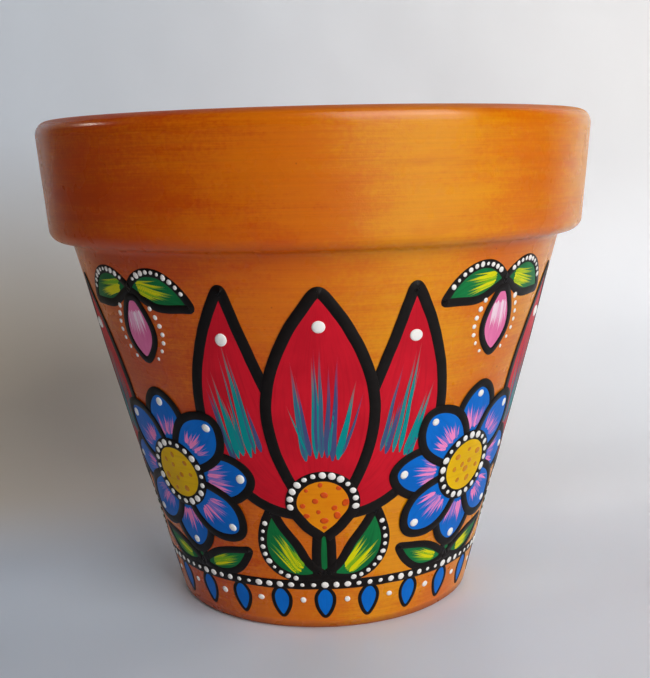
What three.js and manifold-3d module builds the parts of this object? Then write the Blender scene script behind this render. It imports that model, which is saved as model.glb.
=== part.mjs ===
// A fired-clay flower pot with a thick rim band, brushed with an orange ground coat and painted
// with a folk frieze: four tulips, four rosettes, four hanging buds and a border at the foot.
// Millimetres, +Z up. The foot stands on z = 0, the pot's axis is the Z axis and the first
// tulip faces -Y.
import * as THREE from "three";
import { mergeVertices } from "three/addons/utils/BufferGeometryUtils.js";
import Module from "manifold-3d";

const wasm = await Module();
wasm.setup();

// Clay body
const potHeight = 177.3;
const rimHeight = 40.9;
const rimTopRadius = 100.8;
const rimBottomRadius = 97.5;
const rimTopThickness = 11;
const wallTopRadius = 90;
const footRadius = 54.6;
const wallThickness = 9;
const floorThickness = 11;
const footRecess = 2.5;
const footRingWidth = 12;
const footRingBevel = 1.5;
const drainRadius = 11;

// Roundings of the clay's edges
const footEdgeRounding = 1;
const drainEdgeRounding = 1.8;
const rimCreaseRounding = 4;
const rimLowerRounding = 4;
const rimUpperRounding = 4;
const rimInnerRounding = 3.5;
const innerFloorRounding = 8;

// Paint films. Each lies a small clearance above what it covers.
const coatClearance = 0.3;
const coatThickness = 0.4;
const coatFootEdge = 1.3;
const coatInsideDepth = 24;
const motifClearance = 0.3;
const motifThickness = 0.4;
const motifSpacing = 0.5;

// Facets round the axis, and repeats of the frieze
const facetsRound = 48;
const repeats = 4;

// Frieze. Heights are measured up the slope of the wall from the foot, and reaches across it
// from the motif's middle line.
const friezeTopGap = 13;
const borderTop = 20.6;
const borderLineHeight = 3.4;
const borderFootGap = 4.7;
const borderDrops = 24;
const dropHalfWidth = 3;
const tulipStemHalfWidth = 2.4;
const tulipLeafReach = 17.5;
const tulipLeafRise = 28;
const tulipLeafHalfWidth = 6.2;
const heartHeight = 52;
const heartRadius = 10.5;
const heartPoint = 14;
const bloomHalfWidth = 17.5;
const sidePetalReach = 31;
const sidePetalHalfWidth = 14;
const rosetteHeight = 59;
const rosetteRadius = 31;
const rosettePetals = 8;
const rosettePetalHalfWidth = 8.8;
const rosetteCentreRadius = 10.5;
const rosetteStemHalfWidth = 2.1;
const rosetteLeafReach = 24;
const rosetteLeafRise = 9.5;
const rosetteLeafHalfWidth = 4.4;
const budLength = 23;
const budHalfWidth = 7;
const sprigReach = 26;
const sprigDroop = 4;
const sprigHalfWidth = 6;

// Lines worked out from the sizes
const rimUnderside = potHeight - rimHeight;
const wallSlope = Math.atan2(wallTopRadius - footRadius, rimUnderside);
const wallLength = rimUnderside / Math.cos(wallSlope);
const footToApex = footRadius / Math.sin(wallSlope);
const coatOuterOffset = coatClearance + coatThickness;
const motifInnerOffset = coatOuterOffset + motifClearance;
const motifOuterOffset = motifInnerOffset + motifThickness;
const creaseGap = rimCreaseRounding + coatOuterOffset;
const stemFoot = borderTop + motifSpacing;
const bloomTip = wallLength - friezeTopGap;
const sprigHeight = bloomTip - sprigDroop;

const paint = (color) =>
  new THREE.MeshStandardMaterial({ color, roughness: 0.42, metalness: 0 });
const materials = {
  clay: new THREE.MeshStandardMaterial({ color: 0xb5623a, roughness: 0.88, metalness: 0 }),
  ground: paint(0xd07818),
  crimson: paint(0xb01428),
  heart: paint(0xe88c14),
  leaf: paint(0x1a6a38),
  blue: paint(0x0a5cba),
  yellow: paint(0xdcae04),
  pink: paint(0xe884b4),
};

const wallRadiusAt = (z) => footRadius + Math.tan(wallSlope) * z;

// Section drawing: corners with roundings, moved outwards for the paint coats

const corner = (radius, height, rounding = 0, steps = 4) => ({
  at: new THREE.Vector2(radius, height),
  rounding,
  steps,
});

const heading = (from, to) => to.clone().sub(from).normalize();

// The right-hand side of a heading, which is outside on a section drawn up the outer face.
const outwardOf = (direction) => new THREE.Vector2(direction.y, -direction.x);

// Where two lines meet, each given by a point and a heading.
function meeting(a, u, b, v) {
  return a.clone().addScaledVector(u, b.clone().sub(a).cross(v) / u.cross(v));
}

// An open path of corners moved outwards by a distance, with its roundings kept parallel.
function offsetPath(corners, distance) {
  const headings = corners.slice(1).map((c, i) => heading(corners[i].at, c.at));
  const moved = (point, direction) =>
    point.clone().addScaledVector(outwardOf(direction), distance);
  return corners.map((c, i) => {
    const before = headings[i - 1];
    const after = headings[i];
    if (!before || !after) return { ...c, at: moved(c.at, before ?? after) };
    const at = meeting(moved(c.at, before), before, moved(c.at, after), after);
    const growth = before.cross(after) > 0 ? distance : -distance;
    return { ...c, at, rounding: Math.max(c.rounding + growth, 0) };
  });
}

// The points of the arc that rounds one corner between its neighbours.
function roundedCorner(previous, here, next) {
  if (!here.rounding) return [here.at];
  const back = heading(here.at, previous.at);
  const onward = heading(here.at, next.at);
  const halfAngle = Math.acos(back.dot(onward)) / 2;
  const bisector = back.clone().add(onward).normalize();
  const centre = here.at.clone().addScaledVector(bisector, here.rounding / Math.sin(halfAngle));
  const reach = here.rounding / Math.tan(halfAngle);
  const start = here.at.clone().addScaledVector(back, reach);
  const end = here.at.clone().addScaledVector(onward, reach);
  const sweep = Math.atan2(
    start.clone().sub(centre).cross(end.clone().sub(centre)),
    start.clone().sub(centre).dot(end.clone().sub(centre)),
  );
  return Array.from({ length: here.steps + 1 }, (_, i) =>
    start.clone().rotateAround(centre, (sweep * i) / here.steps),
  );
}

function openPath(corners) {
  return corners.flatMap((here, i) =>
    i === 0 || i === corners.length - 1
      ? [here.at]
      : roundedCorner(corners[i - 1], here, corners[i + 1]),
  );
}

function closedPath(corners) {
  return corners.flatMap((here, i) =>
    roundedCorner(corners.at(i - 1), here, corners[(i + 1) % corners.length]),
  );
}

// Solids

// A ring turned about the Z axis from the points of a closed section.
function turned(section) {
  return new THREE.LatheGeometry([...section, section[0]], facetsRound).rotateX(Math.PI / 2);
}

// A geometry as a solid that can be cut and joined.
function solidOf(geometry) {
  const bare = new THREE.BufferGeometry()
    .setAttribute("position", geometry.getAttribute("position"))
    .setIndex(geometry.index);
  const merged = mergeVertices(bare);
  return new wasm.Manifold(
    new wasm.Mesh({
      numProp: 3,
      vertProperties: merged.attributes.position.array,
      triVerts: new Uint32Array(merged.index.array),
    }),
  );
}

// A solid as a geometry with flat-shaded faces.
function geometryOf(solid) {
  const { vertProperties, triVerts } = solid.getMesh();
  const made = new THREE.BufferGeometry()
    .setAttribute("position", new THREE.BufferAttribute(vertProperties, 3))
    .setIndex(new THREE.BufferAttribute(triVerts, 1))
    .toNonIndexed();
  made.computeVertexNormals();
  return made;
}

// Clay

function clayCorners() {
  const innerRadiusAt = (z) => wallRadiusAt(z) - wallThickness;
  const ringInside = footRadius - footRingWidth;
  return [
    corner(drainRadius, footRecess, drainEdgeRounding / 2, 1),
    corner(ringInside, footRecess),
    corner(ringInside + footRingBevel, 0),
    corner(footRadius, 0, footEdgeRounding, 1),
    ...outerCorners(),
    corner(innerRadiusAt(rimUnderside), rimUnderside),
    corner(innerRadiusAt(floorThickness), floorThickness, innerFloorRounding, 3),
    corner(drainRadius, floorThickness, drainEdgeRounding, 2),
  ];
}

// The corners of the outer face from the crease under the rim to the rim's inner edge.
function outerCorners() {
  return [
    corner(wallTopRadius, rimUnderside, rimCreaseRounding, 3),
    corner(rimBottomRadius, rimUnderside, rimLowerRounding, 3),
    corner(rimTopRadius, potHeight, rimUpperRounding, 3),
    corner(rimTopRadius - rimTopThickness, potHeight, rimInnerRounding, 3),
  ];
}

// Ground coat: a skin from the foot, over the rim, and a little way down inside

function coatSection() {
  const rimInside = new THREE.Vector2(rimTopRadius - rimTopThickness, potHeight);
  const creaseInside = new THREE.Vector2(wallTopRadius - wallThickness, rimUnderside);
  const share = coatInsideDepth / rimHeight;
  const innerEnd = rimInside.clone().lerp(creaseInside, share);
  const path = [
    corner(wallRadiusAt(coatFootEdge), coatFootEdge),
    ...outerCorners(),
    corner(innerEnd.x, innerEnd.y),
  ];
  const outer = openPath(offsetPath(path, coatOuterOffset));
  const inner = openPath(offsetPath(path, coatClearance));
  return [...outer, ...inner.reverse()];
}

// Wrapping flat drawings on the wall. A point (x, y) of the flat wall, with x across and y up
// the slope from the foot, goes to its place on the cone, lifted off the clay by an offset.

function wrapped(point, offset, turn = 0) {
  const fromApex = Math.hypot(footToApex + point.y, point.x);
  const azimuth = Math.atan2(point.x, footToApex + point.y) / Math.sin(wallSlope) + turn;
  const radius = fromApex * Math.sin(wallSlope) + offset * Math.cos(wallSlope);
  const z = (fromApex - footToApex) * Math.cos(wallSlope) - offset * Math.sin(wallSlope);
  return new THREE.Vector3(radius * Math.sin(azimuth), -radius * Math.cos(azimuth), z);
}

// A cutter that stands through the motif film on a flat outline. It starts inside the clay and
// ends far enough out for the straight chords of its outer face to clear the curved film.
const cutterInnerOffset = -3;
const cutterOuterOffset = 16;

function cutter(outline, turn = 0) {
  const count = outline.length;
  const inner = outline.map((p) => wrapped(p, cutterInnerOffset, turn));
  const outer = outline.map((p) => wrapped(p, cutterOuterOffset, turn));
  const faces = THREE.ShapeUtils.triangulateShape(outline, []);
  const index = [
    ...faces.flatMap(([a, b, c]) => [a + count, b + count, c + count]),
    ...faces.flatMap(([a, b, c]) => [c, b, a]),
    ...outline.flatMap((_, i) => {
      const next = (i + 1) % count;
      return [i, next, next + count, i, next + count, i + count];
    }),
  ];
  const made = new THREE.BufferGeometry().setFromPoints([...inner, ...outer]).setIndex(index);
  return solidOf(made);
}

// A ring round the wall between two heights on the slope and two offsets off the clay.
function wallRing(low, high, innerOffset, outerOffset) {
  const place = (height, offset) => {
    const p = wrapped(new THREE.Vector2(0, height), offset);
    return new THREE.Vector2(-p.y, p.z);
  };
  return solidOf(
    turned([
      place(low, outerOffset),
      place(high, outerOffset),
      place(high, innerOffset),
      place(low, innerOffset),
    ]),
  );
}

const filmRing = (low, high) => wallRing(low, high, motifInnerOffset, motifOuterOffset);

// Flat outlines, in millimetres of the flat wall

const flat = (x, y) => new THREE.Vector2(x, y);

// A counter-clockwise outline about a curved centre line from start past bend to tip. It is
// widest at the share peak of its length, and starts with the share heel of its half width.
function blade(start, bend, tip, halfWidth, { peak = 0.5, heel = 0, steps = 7 } = {}) {
  const line = new THREE.QuadraticBezierCurve(start, bend, tip);
  const widthAt = (t) =>
    t < peak
      ? heel + (1 - heel) * Math.sin((Math.PI / 2) * (t / peak))
      : Math.cos((Math.PI / 2) * ((t - peak) / (1 - peak)));
  const side = (sign) =>
    Array.from({ length: steps + 1 }, (_, i) => {
      const t = i / steps;
      const out = outwardOf(line.getTangent(t));
      return line.getPoint(t).addScaledVector(out, sign * halfWidth * widthAt(t));
    });
  const left = side(-1).reverse().slice(1);
  return [...side(1), ...(heel ? left : left.slice(0, -1))];
}

// A straight stroke up the wall on the motif's middle line.
const stroke = (low, high, halfWidth) => [
  flat(-halfWidth, low),
  flat(halfWidth, low),
  flat(halfWidth, high),
  flat(-halfWidth, high),
];

function disc(centre, radius, steps = 14) {
  return Array.from({ length: steps }, (_, i) => {
    const angle = (2 * Math.PI * i) / steps;
    return flat(centre.x + radius * Math.cos(angle), centre.y + radius * Math.sin(angle));
  });
}

// The same outline turned about a centre, or grown by a margin all round.
const turnedOutline = (outline, centre, angle) =>
  outline.map((p) => p.clone().rotateAround(centre, angle));

function grown(outline, margin) {
  return outline.map((here, i) => {
    const before = heading(outline.at(i - 1), here);
    const after = heading(here, outline[(i + 1) % outline.length]);
    const out = outwardOf(before.add(after).normalize());
    return here.clone().addScaledVector(out, margin);
  });
}

// Motif outlines

const mirrored = (outline) => outline.map((p) => flat(-p.x, p.y)).reverse();
const bothSides = (outline) => [outline, mirrored(outline)];

const heartCentre = flat(0, heartHeight);

// A drop that hangs with its round head up.
function heartOutline() {
  const shoulder = 0.35;
  const steps = 8;
  const arc = Array.from({ length: steps + 1 }, (_, i) => {
    const angle = -shoulder + ((Math.PI + 2 * shoulder) * i) / steps;
    return flat(heartRadius * Math.cos(angle), heartHeight + heartRadius * Math.sin(angle));
  });
  return [...arc, flat(0, heartHeight - heartPoint)];
}

function bloomOutlines() {
  const bulge = 1.1;
  const low = heartHeight + heartRadius * 0.75;
  const side = blade(
    heartCentre,
    flat(sidePetalReach * bulge, low),
    flat(sidePetalReach, bloomTip - motifSpacing),
    sidePetalHalfWidth,
    { peak: 0.52, heel: 0.35, steps: 9 },
  );
  const middle = blade(
    heartCentre,
    flat(0, (heartHeight + bloomTip) / 2),
    flat(0, bloomTip),
    bloomHalfWidth,
    { peak: 0.45, heel: 0.4, steps: 9 },
  );
  return [middle, ...bothSides(side)];
}

function tulipStemOutlines() {
  const leafFoot = stemFoot + tulipStemHalfWidth;
  const leaf = blade(
    flat(0, leafFoot),
    flat(tulipLeafReach, leafFoot),
    flat(tulipLeafReach, stemFoot + tulipLeafRise),
    tulipLeafHalfWidth,
    { peak: 0.55 },
  );
  return [stroke(stemFoot, heartHeight, tulipStemHalfWidth), ...bothSides(leaf)];
}

const rosetteMiddle = flat(0, rosetteHeight);

function rosetteOutlines() {
  const petal = blade(
    flat(0, rosetteHeight + rosetteCentreRadius * 0.6),
    flat(0, rosetteHeight + rosetteRadius * 0.6),
    flat(0, rosetteHeight + rosetteRadius),
    rosettePetalHalfWidth,
    { peak: 0.55, heel: 0.5, steps: 5 },
  );
  return Array.from({ length: rosettePetals }, (_, i) =>
    turnedOutline(petal, rosetteMiddle, (2 * Math.PI * i) / rosettePetals),
  );
}

function rosetteStemOutlines() {
  const leafFoot = stemFoot + rosetteLeafHalfWidth / 2;
  const leaf = blade(
    flat(0, leafFoot),
    flat(rosetteLeafReach / 2, leafFoot),
    flat(rosetteLeafReach, stemFoot + rosetteLeafRise),
    rosetteLeafHalfWidth,
  );
  return [stroke(stemFoot, rosetteHeight, rosetteStemHalfWidth), ...bothSides(leaf)];
}

const budOutline = () =>
  blade(
    flat(0, sprigHeight),
    flat(0, sprigHeight - budLength / 2),
    flat(0, sprigHeight - budLength),
    budHalfWidth,
    { peak: 0.55, heel: 0.3 },
  );

// Two leaves that meet above the bud and droop to either side.
function sprigOutlines() {
  const leaf = blade(
    flat(-motifSpacing, sprigHeight + sprigHalfWidth / 2),
    flat(sprigReach / 2, sprigHeight + sprigHalfWidth),
    flat(sprigReach, sprigHeight - sprigDroop),
    sprigHalfWidth,
  );
  return bothSides(leaf);
}

// The border at the foot: a line round the wall with drops hanging from it.
function borderSolid() {
  const low = borderTop - borderLineHeight;
  const drop = blade(
    flat(0, low + borderLineHeight / 2),
    flat(0, (low + borderFootGap) / 2),
    flat(0, borderFootGap),
    dropHalfWidth,
    { peak: 0.35, heel: 0.6, steps: 4 },
  );
  const drops = Array.from({ length: borderDrops }, (_, i) =>
    cutter(drop, (2 * Math.PI * i) / borderDrops),
  );
  const line = wallRing(low, borderTop + borderLineHeight, cutterInnerOffset, cutterOuterOffset);
  return filmRing(0, borderTop).intersect(wasm.Manifold.union([line, ...drops]));
}

// The pot

const pot = new THREE.Group();

function place(name, geometry, material, turn = 0) {
  const mesh = new THREE.Mesh(geometry, material);
  mesh.name = name;
  mesh.rotation.z = turn;
  pot.add(mesh);
}

place("clay_pot", turned(closedPath(clayCorners())), materials.clay);
place("ground_coat", turned(coatSection()), materials.ground);
place("foot_border", geometryOf(borderSolid()), materials.blue);

// Each motif is cut from the film once and set round the wall at every repeat. Tulips stand on
// the repeats, and rosettes and buds half way between them.
const film = filmRing(stemFoot, wallLength - creaseGap);
const repeatAngle = (2 * Math.PI) / repeats;
const halfRepeat = repeatAngle / 2;

const heart = heartOutline();
const bloom = bloomOutlines();
const tulipStem = tulipStemOutlines();
const rosette = rosetteOutlines();
const centre = disc(rosetteMiddle, rosetteCentreRadius);
const bud = budOutline();

// One motif in the film, kept clear of outlines on its own line and on the lines beside it.
function motif(outlines, own = [], beside = []) {
  const kept = [
    ...own.map((outline) => cutter(grown(outline, motifSpacing))),
    ...beside.map((outline) => cutter(grown(outline, motifSpacing), halfRepeat)),
    ...beside.map((outline) => cutter(grown(outline, motifSpacing), -halfRepeat)),
  ];
  const whole = film.intersect(wasm.Manifold.union(outlines.map((outline) => cutter(outline))));
  return kept.length ? whole.subtract(wasm.Manifold.union(kept)) : whole;
}

const motifs = [
  ["tulip_petals", motif(bloom, [heart], rosette), materials.crimson, 0],
  ["tulip_heart", motif([heart]), materials.heart, 0],
  ["tulip_stem", motif(tulipStem, [heart, ...bloom], rosette), materials.leaf, 0],
  ["rosette_petals", motif(rosette, [centre]), materials.blue, halfRepeat],
  ["rosette_centre", motif([centre]), materials.yellow, halfRepeat],
  [
    "rosette_stem",
    motif(rosetteStemOutlines(), [centre, ...rosette], [...tulipStem, ...bloom]),
    materials.leaf,
    halfRepeat,
  ],
  ["bud", motif([bud], rosette, bloom), materials.pink, halfRepeat],
  ["bud_sprig", motif(sprigOutlines(), [bud], bloom), materials.leaf, halfRepeat],
];

for (const [name, solid, material, turn] of motifs) {
  const geometry = geometryOf(solid);
  for (let i = 0; i < repeats; i += 1) {
    place(`${name}_${i + 1}`, geometry, material, turn + i * repeatAngle);
  }
}

export default pot;
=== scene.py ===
"""Dresses the flower pot: fired clay, a brushed orange ground coat and a painted frieze.

Everything is in metres in the part's own frame: +Z up, the foot on z = 0, the pot's axis on Z
and the first tulip facing -Y. The frieze is drawn flat, with x across the wall and y up its
slope from the foot, and is then wrapped on the cone of the wall. What the drawings repeat, such
as brush lines, bristle strokes and raised dots, is grown by geometry nodes.
"""

import logging
import math
import random
from collections.abc import Callable
from dataclasses import dataclass, field, replace
from enum import Enum

import bpy
from bpy.types import Material, Mesh, NodeSocket, NodeTree, Object
from mathutils import Matrix, Vector

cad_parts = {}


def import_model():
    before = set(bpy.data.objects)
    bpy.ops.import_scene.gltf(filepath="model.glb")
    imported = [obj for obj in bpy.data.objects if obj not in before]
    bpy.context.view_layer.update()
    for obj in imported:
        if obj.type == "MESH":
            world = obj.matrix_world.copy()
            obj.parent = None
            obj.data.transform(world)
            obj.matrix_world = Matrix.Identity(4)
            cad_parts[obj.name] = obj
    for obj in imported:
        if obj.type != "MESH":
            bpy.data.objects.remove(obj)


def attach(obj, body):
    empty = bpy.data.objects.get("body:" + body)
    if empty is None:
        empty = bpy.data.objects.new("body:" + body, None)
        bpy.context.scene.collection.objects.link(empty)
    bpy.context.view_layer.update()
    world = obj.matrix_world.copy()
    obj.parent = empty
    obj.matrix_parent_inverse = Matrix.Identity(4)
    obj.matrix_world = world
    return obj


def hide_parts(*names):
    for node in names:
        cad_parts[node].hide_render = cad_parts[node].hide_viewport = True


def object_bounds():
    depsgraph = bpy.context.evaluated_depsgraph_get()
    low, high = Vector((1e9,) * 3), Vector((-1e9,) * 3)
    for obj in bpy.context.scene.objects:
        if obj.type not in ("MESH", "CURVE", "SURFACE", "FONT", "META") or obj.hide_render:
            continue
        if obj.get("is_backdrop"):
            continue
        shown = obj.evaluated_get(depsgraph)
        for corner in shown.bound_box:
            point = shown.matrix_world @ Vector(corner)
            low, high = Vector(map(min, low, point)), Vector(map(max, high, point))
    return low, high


log = logging.getLogger("flower_pot")

MM = 0.001
REPEATS = 4
DOT_LEVEL = 0.05 * MM
FLAT_DOTS = {"Rise": 0.06, "Unevenness": 0.3, "Oval": 0.3}


# Node trees


class NodeSketch:
    """Adds and joins the nodes of one tree, so that each tree reads as a recipe."""

    SOCKETS = {float: "NodeSocketFloat", int: "NodeSocketInt", Vector: "NodeSocketVector"}

    def __init__(self, tree: NodeTree) -> None:
        """Start on the tree that the nodes go into."""
        self.tree = tree
        self.given: dict[str, NodeSocket] = {}

    @classmethod
    def group(cls, name: str, kind: str, inputs: dict, outputs: dict) -> "NodeSketch":
        """Start a node group with named sockets.

        Args:
            name: The group's name.
            kind: Its tree type, such as "ShaderNodeTree".
            inputs: The inputs' default values by name. A string is a socket type.
            outputs: The outputs' socket types by name.

        Returns:
            The sketch, with the group's inputs in its given values.
        """
        sketch = cls(bpy.data.node_groups.new(name, kind))
        for label, value in inputs.items():
            socket_type = value if isinstance(value, str) else cls.SOCKETS[type(value)]
            socket = sketch.tree.interface.new_socket(name=label, in_out="INPUT", socket_type=socket_type)
            if not isinstance(value, str):
                socket.default_value = value
        for label, socket_type in outputs.items():
            sketch.tree.interface.new_socket(name=label, in_out="OUTPUT", socket_type=socket_type)
        source = sketch.tree.nodes.new("NodeGroupInput")
        sketch.given = {socket.name: socket for socket in source.outputs if socket.name}
        return sketch

    @staticmethod
    def find(sockets: bpy.types.bpy_prop_collection, key: str | int) -> NodeSocket:
        """Find a socket by its place or by its name among those in use.

        Args:
            sockets: A node's inputs or outputs.
            key: The socket's number or name.

        Returns:
            The socket.
        """
        in_use = [socket for socket in sockets if socket.enabled]
        if isinstance(key, int):
            return in_use[key]
        return next(socket for socket in in_use if socket.name == key)

    def feed(self, socket: NodeSocket, value: object) -> None:
        """Join a socket to another one, or set its value.

        Args:
            socket: The input to feed.
            value: The output that feeds it, or a plain value.
        """
        if isinstance(value, NodeSocket):
            self.tree.links.new(value, socket)
        else:
            socket.default_value = value

    def add(self, kind: str, inputs: dict | None = None, **settings: object) -> bpy.types.Node:
        """Add a node.

        Args:
            kind: The node's type.
            inputs: What feeds its inputs, by name or number.
            **settings: The node's own settings.

        Returns:
            The node.
        """
        node = self.tree.nodes.new(kind)
        for name, value in settings.items():
            setattr(node, name, value)
        for key, value in (inputs or {}).items():
            self.feed(self.find(node.inputs, key), value)
        return node

    def get(self, kind: str, inputs: dict | None = None, **settings: object) -> NodeSocket:
        """Add a node, and return the first of its outputs in use."""
        return self.find(self.add(kind, inputs, **settings).outputs, 0)

    def math(self, operation: str, *values: object) -> NodeSocket:
        """Add a math node on the given values and return its result."""
        return self.get("ShaderNodeMath", dict(enumerate(values)), operation=operation)

    def plus(self, first: object, second: object) -> NodeSocket:
        """Add two values."""
        return self.math("ADD", first, second)

    def times(self, first: object, second: object) -> NodeSocket:
        """Multiply two values."""
        return self.math("MULTIPLY", first, second)

    def scaled(self, value: object, factor: object, shift: object) -> NodeSocket:
        """Multiply a value by a factor and add a shift."""
        return self.math("MULTIPLY_ADD", value, factor, shift)

    def vector_math(self, operation: str, *values: object) -> NodeSocket:
        """Add a vector math node on the given values and return its vector."""
        return self.get("ShaderNodeVectorMath", dict(enumerate(values)), operation=operation)

    def combine(self, x: object, y: object, z: object) -> NodeSocket:
        """Make a vector of three values."""
        return self.get("ShaderNodeCombineXYZ", {0: x, 1: y, 2: z})

    def separate(self, vector: object) -> tuple[NodeSocket, ...]:
        """Split a vector into its three values."""
        return tuple(self.add("ShaderNodeSeparateXYZ", {0: vector}).outputs)

    def spread(
        self, value: object, low: float, high: float, to_low: float = 0.0, to_high: float = 1.0
    ) -> NodeSocket:
        """Map a value smoothly from one range to another, and hold it at the ends."""
        feeds = {0: value, 1: low, 2: high, 3: to_low, 4: to_high}
        return self.get("ShaderNodeMapRange", feeds, interpolation_type="SMOOTHSTEP")

    def noise(
        self, vector: object, scale: float, detail: float = 3.0, roughness: float = 0.55
    ) -> NodeSocket:
        """Add a noise texture, with its swells in each metre as its scale, and return its value."""
        feeds = {"Vector": vector, "Scale": scale, "Detail": detail, "Roughness": roughness}
        return self.get("ShaderNodeTexNoise", feeds)

    def blend(self, share: object, first: object, second: object, how: str = "MIX") -> NodeSocket:
        """Blend two colours.

        Args:
            share: How much of the second colour shows.
            first: The colour underneath.
            second: The colour on top.
            how: The way they blend.

        Returns:
            The blended colour.
        """
        node = self.add("ShaderNodeMix", {0: share}, data_type="RGBA", blend_type=how)
        self.feed(node.inputs[6], first)
        self.feed(node.inputs[7], second)
        return node.outputs[2]

    def use(self, tree: NodeTree, inputs: dict) -> bpy.types.Node:
        """Place a node group, with what feeds its inputs by name, and return its node."""
        node_type = tree.bl_idname.replace("Tree", "Group")
        return self.add(node_type, inputs, node_tree=tree)

    def give(self, **results: object) -> None:
        """Join the results to the group's outputs, whose names have blanks for underscores."""
        target = self.tree.nodes.new("NodeGroupOutput")
        for name, value in results.items():
            self.feed(target.inputs[name.replace("_", " ")], value)


# The wall and what is drawn on it


@dataclass(frozen=True)
class PotSizes:
    """The pot's driving sizes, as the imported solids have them."""

    height: float = 177.3 * MM
    rim_height: float = 40.9 * MM
    rim_top_radius: float = 100.8 * MM
    rim_bottom_radius: float = 97.5 * MM
    rim_thickness: float = 11 * MM
    rim_lower_rounding: float = 4 * MM
    crease_rounding: float = 4 * MM
    wall_top_radius: float = 90 * MM
    foot_radius: float = 54.6 * MM
    wall_thickness: float = 9 * MM
    floor_thickness: float = 11 * MM
    foot_recess: float = 2.5 * MM
    foot_ring_width: float = 12 * MM
    foot_ring_bevel: float = 1.5 * MM
    drain_radius: float = 11 * MM
    coat_lift: float = 0.69 * MM
    coat_foot_edge: float = 1.3 * MM
    coat_inside_depth: float = 24 * MM

    @property
    def rim_underside(self) -> float:
        """Height of the rim band's lower edge."""
        return self.height - self.rim_height

    @property
    def wall_slope(self) -> float:
        """Angle of the wall from the upright, in radians."""
        return math.atan2(self.wall_top_radius - self.foot_radius, self.rim_underside)

    @property
    def foot_to_apex(self) -> float:
        """Distance down the slope from the wall's apex to the foot."""
        return self.foot_radius / math.sin(self.wall_slope)

    def wall_radius(self, z: float) -> float:
        """Outer radius of the clay wall at a height."""
        return self.foot_radius + math.tan(self.wall_slope) * z


@dataclass(frozen=True)
class Blade:
    """A brush-drawn shape about a curved middle line: a petal, a leaf, a drop or a stem.

    It is widest at the share peak of its length, and starts with the share heel of its half
    width. A lower blunt makes its tip rounder.
    """

    start: Vector
    bend: Vector
    tip: Vector
    half_width: float
    peak: float = 0.5
    heel: float = 0.0
    blunt: float = 1.0

    def middle(self, t: float) -> Vector:
        """Point of the middle line at a share of its length."""
        s = 1 - t
        return self.start * s * s + self.bend * 2 * s * t + self.tip * t * t

    def heading(self, t: float) -> Vector:
        """Unit direction of the middle line."""
        along = (self.bend - self.start) * (1 - t) + (self.tip - self.bend) * t
        return along.normalized()

    def width(self, t: float) -> float:
        """Half width at one place.

        Args:
            t: The place, as a share of the length.

        Returns:
            The half width.
        """
        if t < self.peak:
            rise = math.sin(math.pi / 2 * t / self.peak)
            return self.half_width * (self.heel + (1 - self.heel) * rise)
        fall = math.cos(math.pi / 2 * (t - self.peak) / (1 - self.peak))
        return self.half_width * max(fall, 0.0) ** self.blunt

    def point(self, t: float, side: float) -> Vector:
        """Point at a share of the length and a share of the half width to the right."""
        along = self.heading(t)
        return self.middle(t) + Vector((along.y, -along.x)) * side * self.width(t)

    def outline(self, steps: int = 28) -> list[Vector]:
        """Closed outline, counter-clockwise from the start.

        Args:
            steps: Points along each side.

        Returns:
            The points.
        """
        shares = [(1 - math.cos(math.pi * i / steps)) / 2 for i in range(steps + 1)]
        right = [self.point(t, 1) for t in shares]
        left = [self.point(t, -1) for t in reversed(shares[:-1])]
        return right + (left if self.heel else left[:-1])

    def moved(self, move: Callable[[Vector], Vector]) -> "Blade":
        """The same blade with its three places moved."""
        return replace(self, start=move(self.start), bend=move(self.bend), tip=move(self.tip))

    def mirrored(self) -> "Blade":
        """The same blade on the other side of the middle line of its motif."""
        return self.moved(lambda place: Vector((-place.x, place.y)))

    def turned(self, angle: float, about: Vector) -> "Blade":
        """The same blade, turned about a point by an angle in radians."""
        turn = Matrix.Rotation(angle, 2)
        return self.moved(lambda place: about + turn @ (place - about))


class Tier(Enum):
    """How far a painted layer lies above the ground coat. Each covers the one below."""

    FIRST = 0.0
    SECOND = 0.13 * MM
    THIRD = 0.26 * MM
    FOURTH = 0.39 * MM
    FIFTH = 0.52 * MM

    @property
    def film(self) -> float:
        """Underside of a fill on this tier."""
        return self.value

    @property
    def stroke(self) -> float:
        """Underside of the brush strokes over the fill."""
        return self.value + 0.045 * MM

    @property
    def line(self) -> float:
        """Middle of a brush line over the fill's edge."""
        return self.value + 0.03 * MM

    @property
    def dot(self) -> float:
        """Middle of a raised dot."""
        return self.value + 0.1 * MM


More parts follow.
